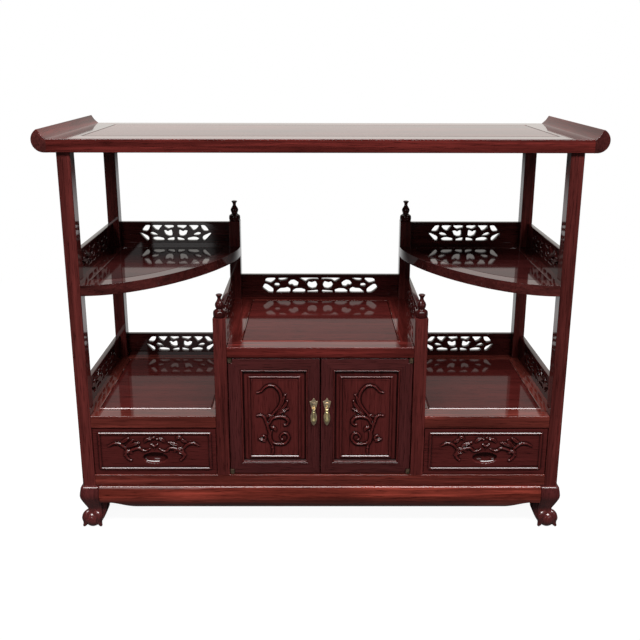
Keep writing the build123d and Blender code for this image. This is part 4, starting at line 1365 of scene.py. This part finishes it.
# %% Lamps
def soft_box(name, place, aim, size, power):
    made = bpy.data.lights.new(name, "AREA")
    made.shape = "RECTANGLE"
    made.size, made.size_y = size
    made.energy = power
    lamp = link(name, made)
    lamp.location = place
    lamp.rotation_euler = (Vector(aim) - Vector(place)).to_track_quat("-Z", "Y").to_euler()


soft_box("overhead_box", (0.0, -1.78, 2.95), (0.0, -0.1, 0.3), (3.6, 0.7), 194.0)
soft_box("front_box", (-1.2, -3.0, 1.5), (0.0, 0.0, 0.4), (1.0, 0.7), 9.0)
soft_box("fill_box", (1.9, -2.4, 1.3), (0.0, 0.0, 0.4), (1.0, 0.7), 5.0)

# %% The room that the lacquer mirrors
room_light = 0.12          # what the room adds to plain, unmirrored light
warmth = 0.92              # blue share of the mirrored white

world = bpy.data.worlds.new("room")
world.use_nodes = True
bpy.context.scene.world = world
room = world.node_tree
room.nodes.clear()
toward = node(room, "SeparateXYZ", {"Vector": node(room, "TexCoord").outputs["Generated"]}).outputs
behind = map_range(room, toward["Y"], -0.15, 0.25, 0.04, 1.0)
within = map_range(room, math_node(room, "ABSOLUTE", toward["X"], 0.0), 0.40, 0.60, 1.0, 0.10)
backdrop = math_node(room, "MULTIPLY", behind, within)
rays = node(room, "LightPath").outputs
seen = math_node(room, "MAXIMUM", rays["Is Camera Ray"], rays["Is Transmission Ray"])
glossy = math_node(room, "MULTIPLY", rays["Is Glossy Ray"], backdrop)
plain = math_node(room, "SUBTRACT", 1.0, rays["Is Glossy Ray"])
ambient = math_node(room, "MULTIPLY", plain, room_light)
strength = math_node(room, "MAXIMUM", math_node(room, "ADD", glossy, ambient), seen)
warm = map_range(room, rays["Is Glossy Ray"], 0.0, 1.0, 1.0, warmth)
paper = node(room, "CombineXYZ", {"X": 1.0, "Y": math_node(room, "POWER", warm, 0.35), "Z": warm})
sky = node(room, "Background", {"Color": paper.outputs[0], "Strength": strength})
node(room, "OutputWorld", {"Surface": sky.outputs[0]})
print("room:", len(room.nodes), "nodes")

# %% The sheet of paper on the floor
sheet_reach, sheet_front = 14.0, -0.95

floor_finish, tree, shader = new_finish("studio_floor")
shader.inputs["Roughness"].default_value = 0.9
shader.inputs["Specular IOR Level"].default_value = 0.0
spot = node(tree, "SeparateXYZ", {"Vector": node(tree, "TexCoord").outputs["Object"]}).outputs
off_axis = math_node(tree, "ABSOLUTE", spot["X"], 0.0)
mirrored_paper = math_node(tree, "MULTIPLY", map_range(tree, spot["Y"], 0.2, 1.2, 0.0, 0.9),
                           map_range(tree, off_axis, 0.7, 1.2, 1.0, 0.1))
albedo = math_node(tree, "MULTIPLY", map_range(tree, spot["Y"], -0.30, 0.50, 0.02, 0.45),
                   map_range(tree, spot["Y"], 0.6, 1.6, 1.0, 0.0))
shown_paper = math_node(tree, "SUBTRACT", 1.0, math_node(tree, "MULTIPLY", albedo, 0.5))
grey = node(tree, "CombineXYZ", {"X": albedo, "Y": albedo, "Z": albedo}).outputs[0]
tree.links.new(grey, shader.inputs["Base Color"])
floor_rays = node(tree, "LightPath").outputs
shown_ray = math_node(tree, "MAXIMUM", floor_rays["Is Camera Ray"],
                      floor_rays["Is Transmission Ray"])
shown = math_node(tree, "MULTIPLY", shown_ray, shown_paper)
mirrored = math_node(tree, "MULTIPLY", floor_rays["Is Glossy Ray"], mirrored_paper)
glow = node(tree, "Emission", {"Strength": math_node(tree, "ADD", shown, mirrored)})
both = node(tree, "AddShader", {0: shader.outputs[0], 1: glow.outputs[0]})
surface = [n for n in tree.nodes if n.type == "OUTPUT_MATERIAL"][0]
tree.links.new(both.outputs[0], surface.inputs["Surface"])
floor_mesh = bpy.data.meshes.new("studio_floor")
floor_mesh.from_pydata([(-sheet_reach, sheet_front, 0), (sheet_reach, sheet_front, 0),
                        (sheet_reach, sheet_reach, 0), (-sheet_reach, sheet_reach, 0)], [],
                       [(0, 1, 2, 3)])
floor_mesh.materials.append(floor_finish)
link("studio_floor", floor_mesh)
bpy.context.scene.view_settings.view_transform = "Standard"
print("sheet of paper from", sheet_front, "to", sheet_reach, "m")
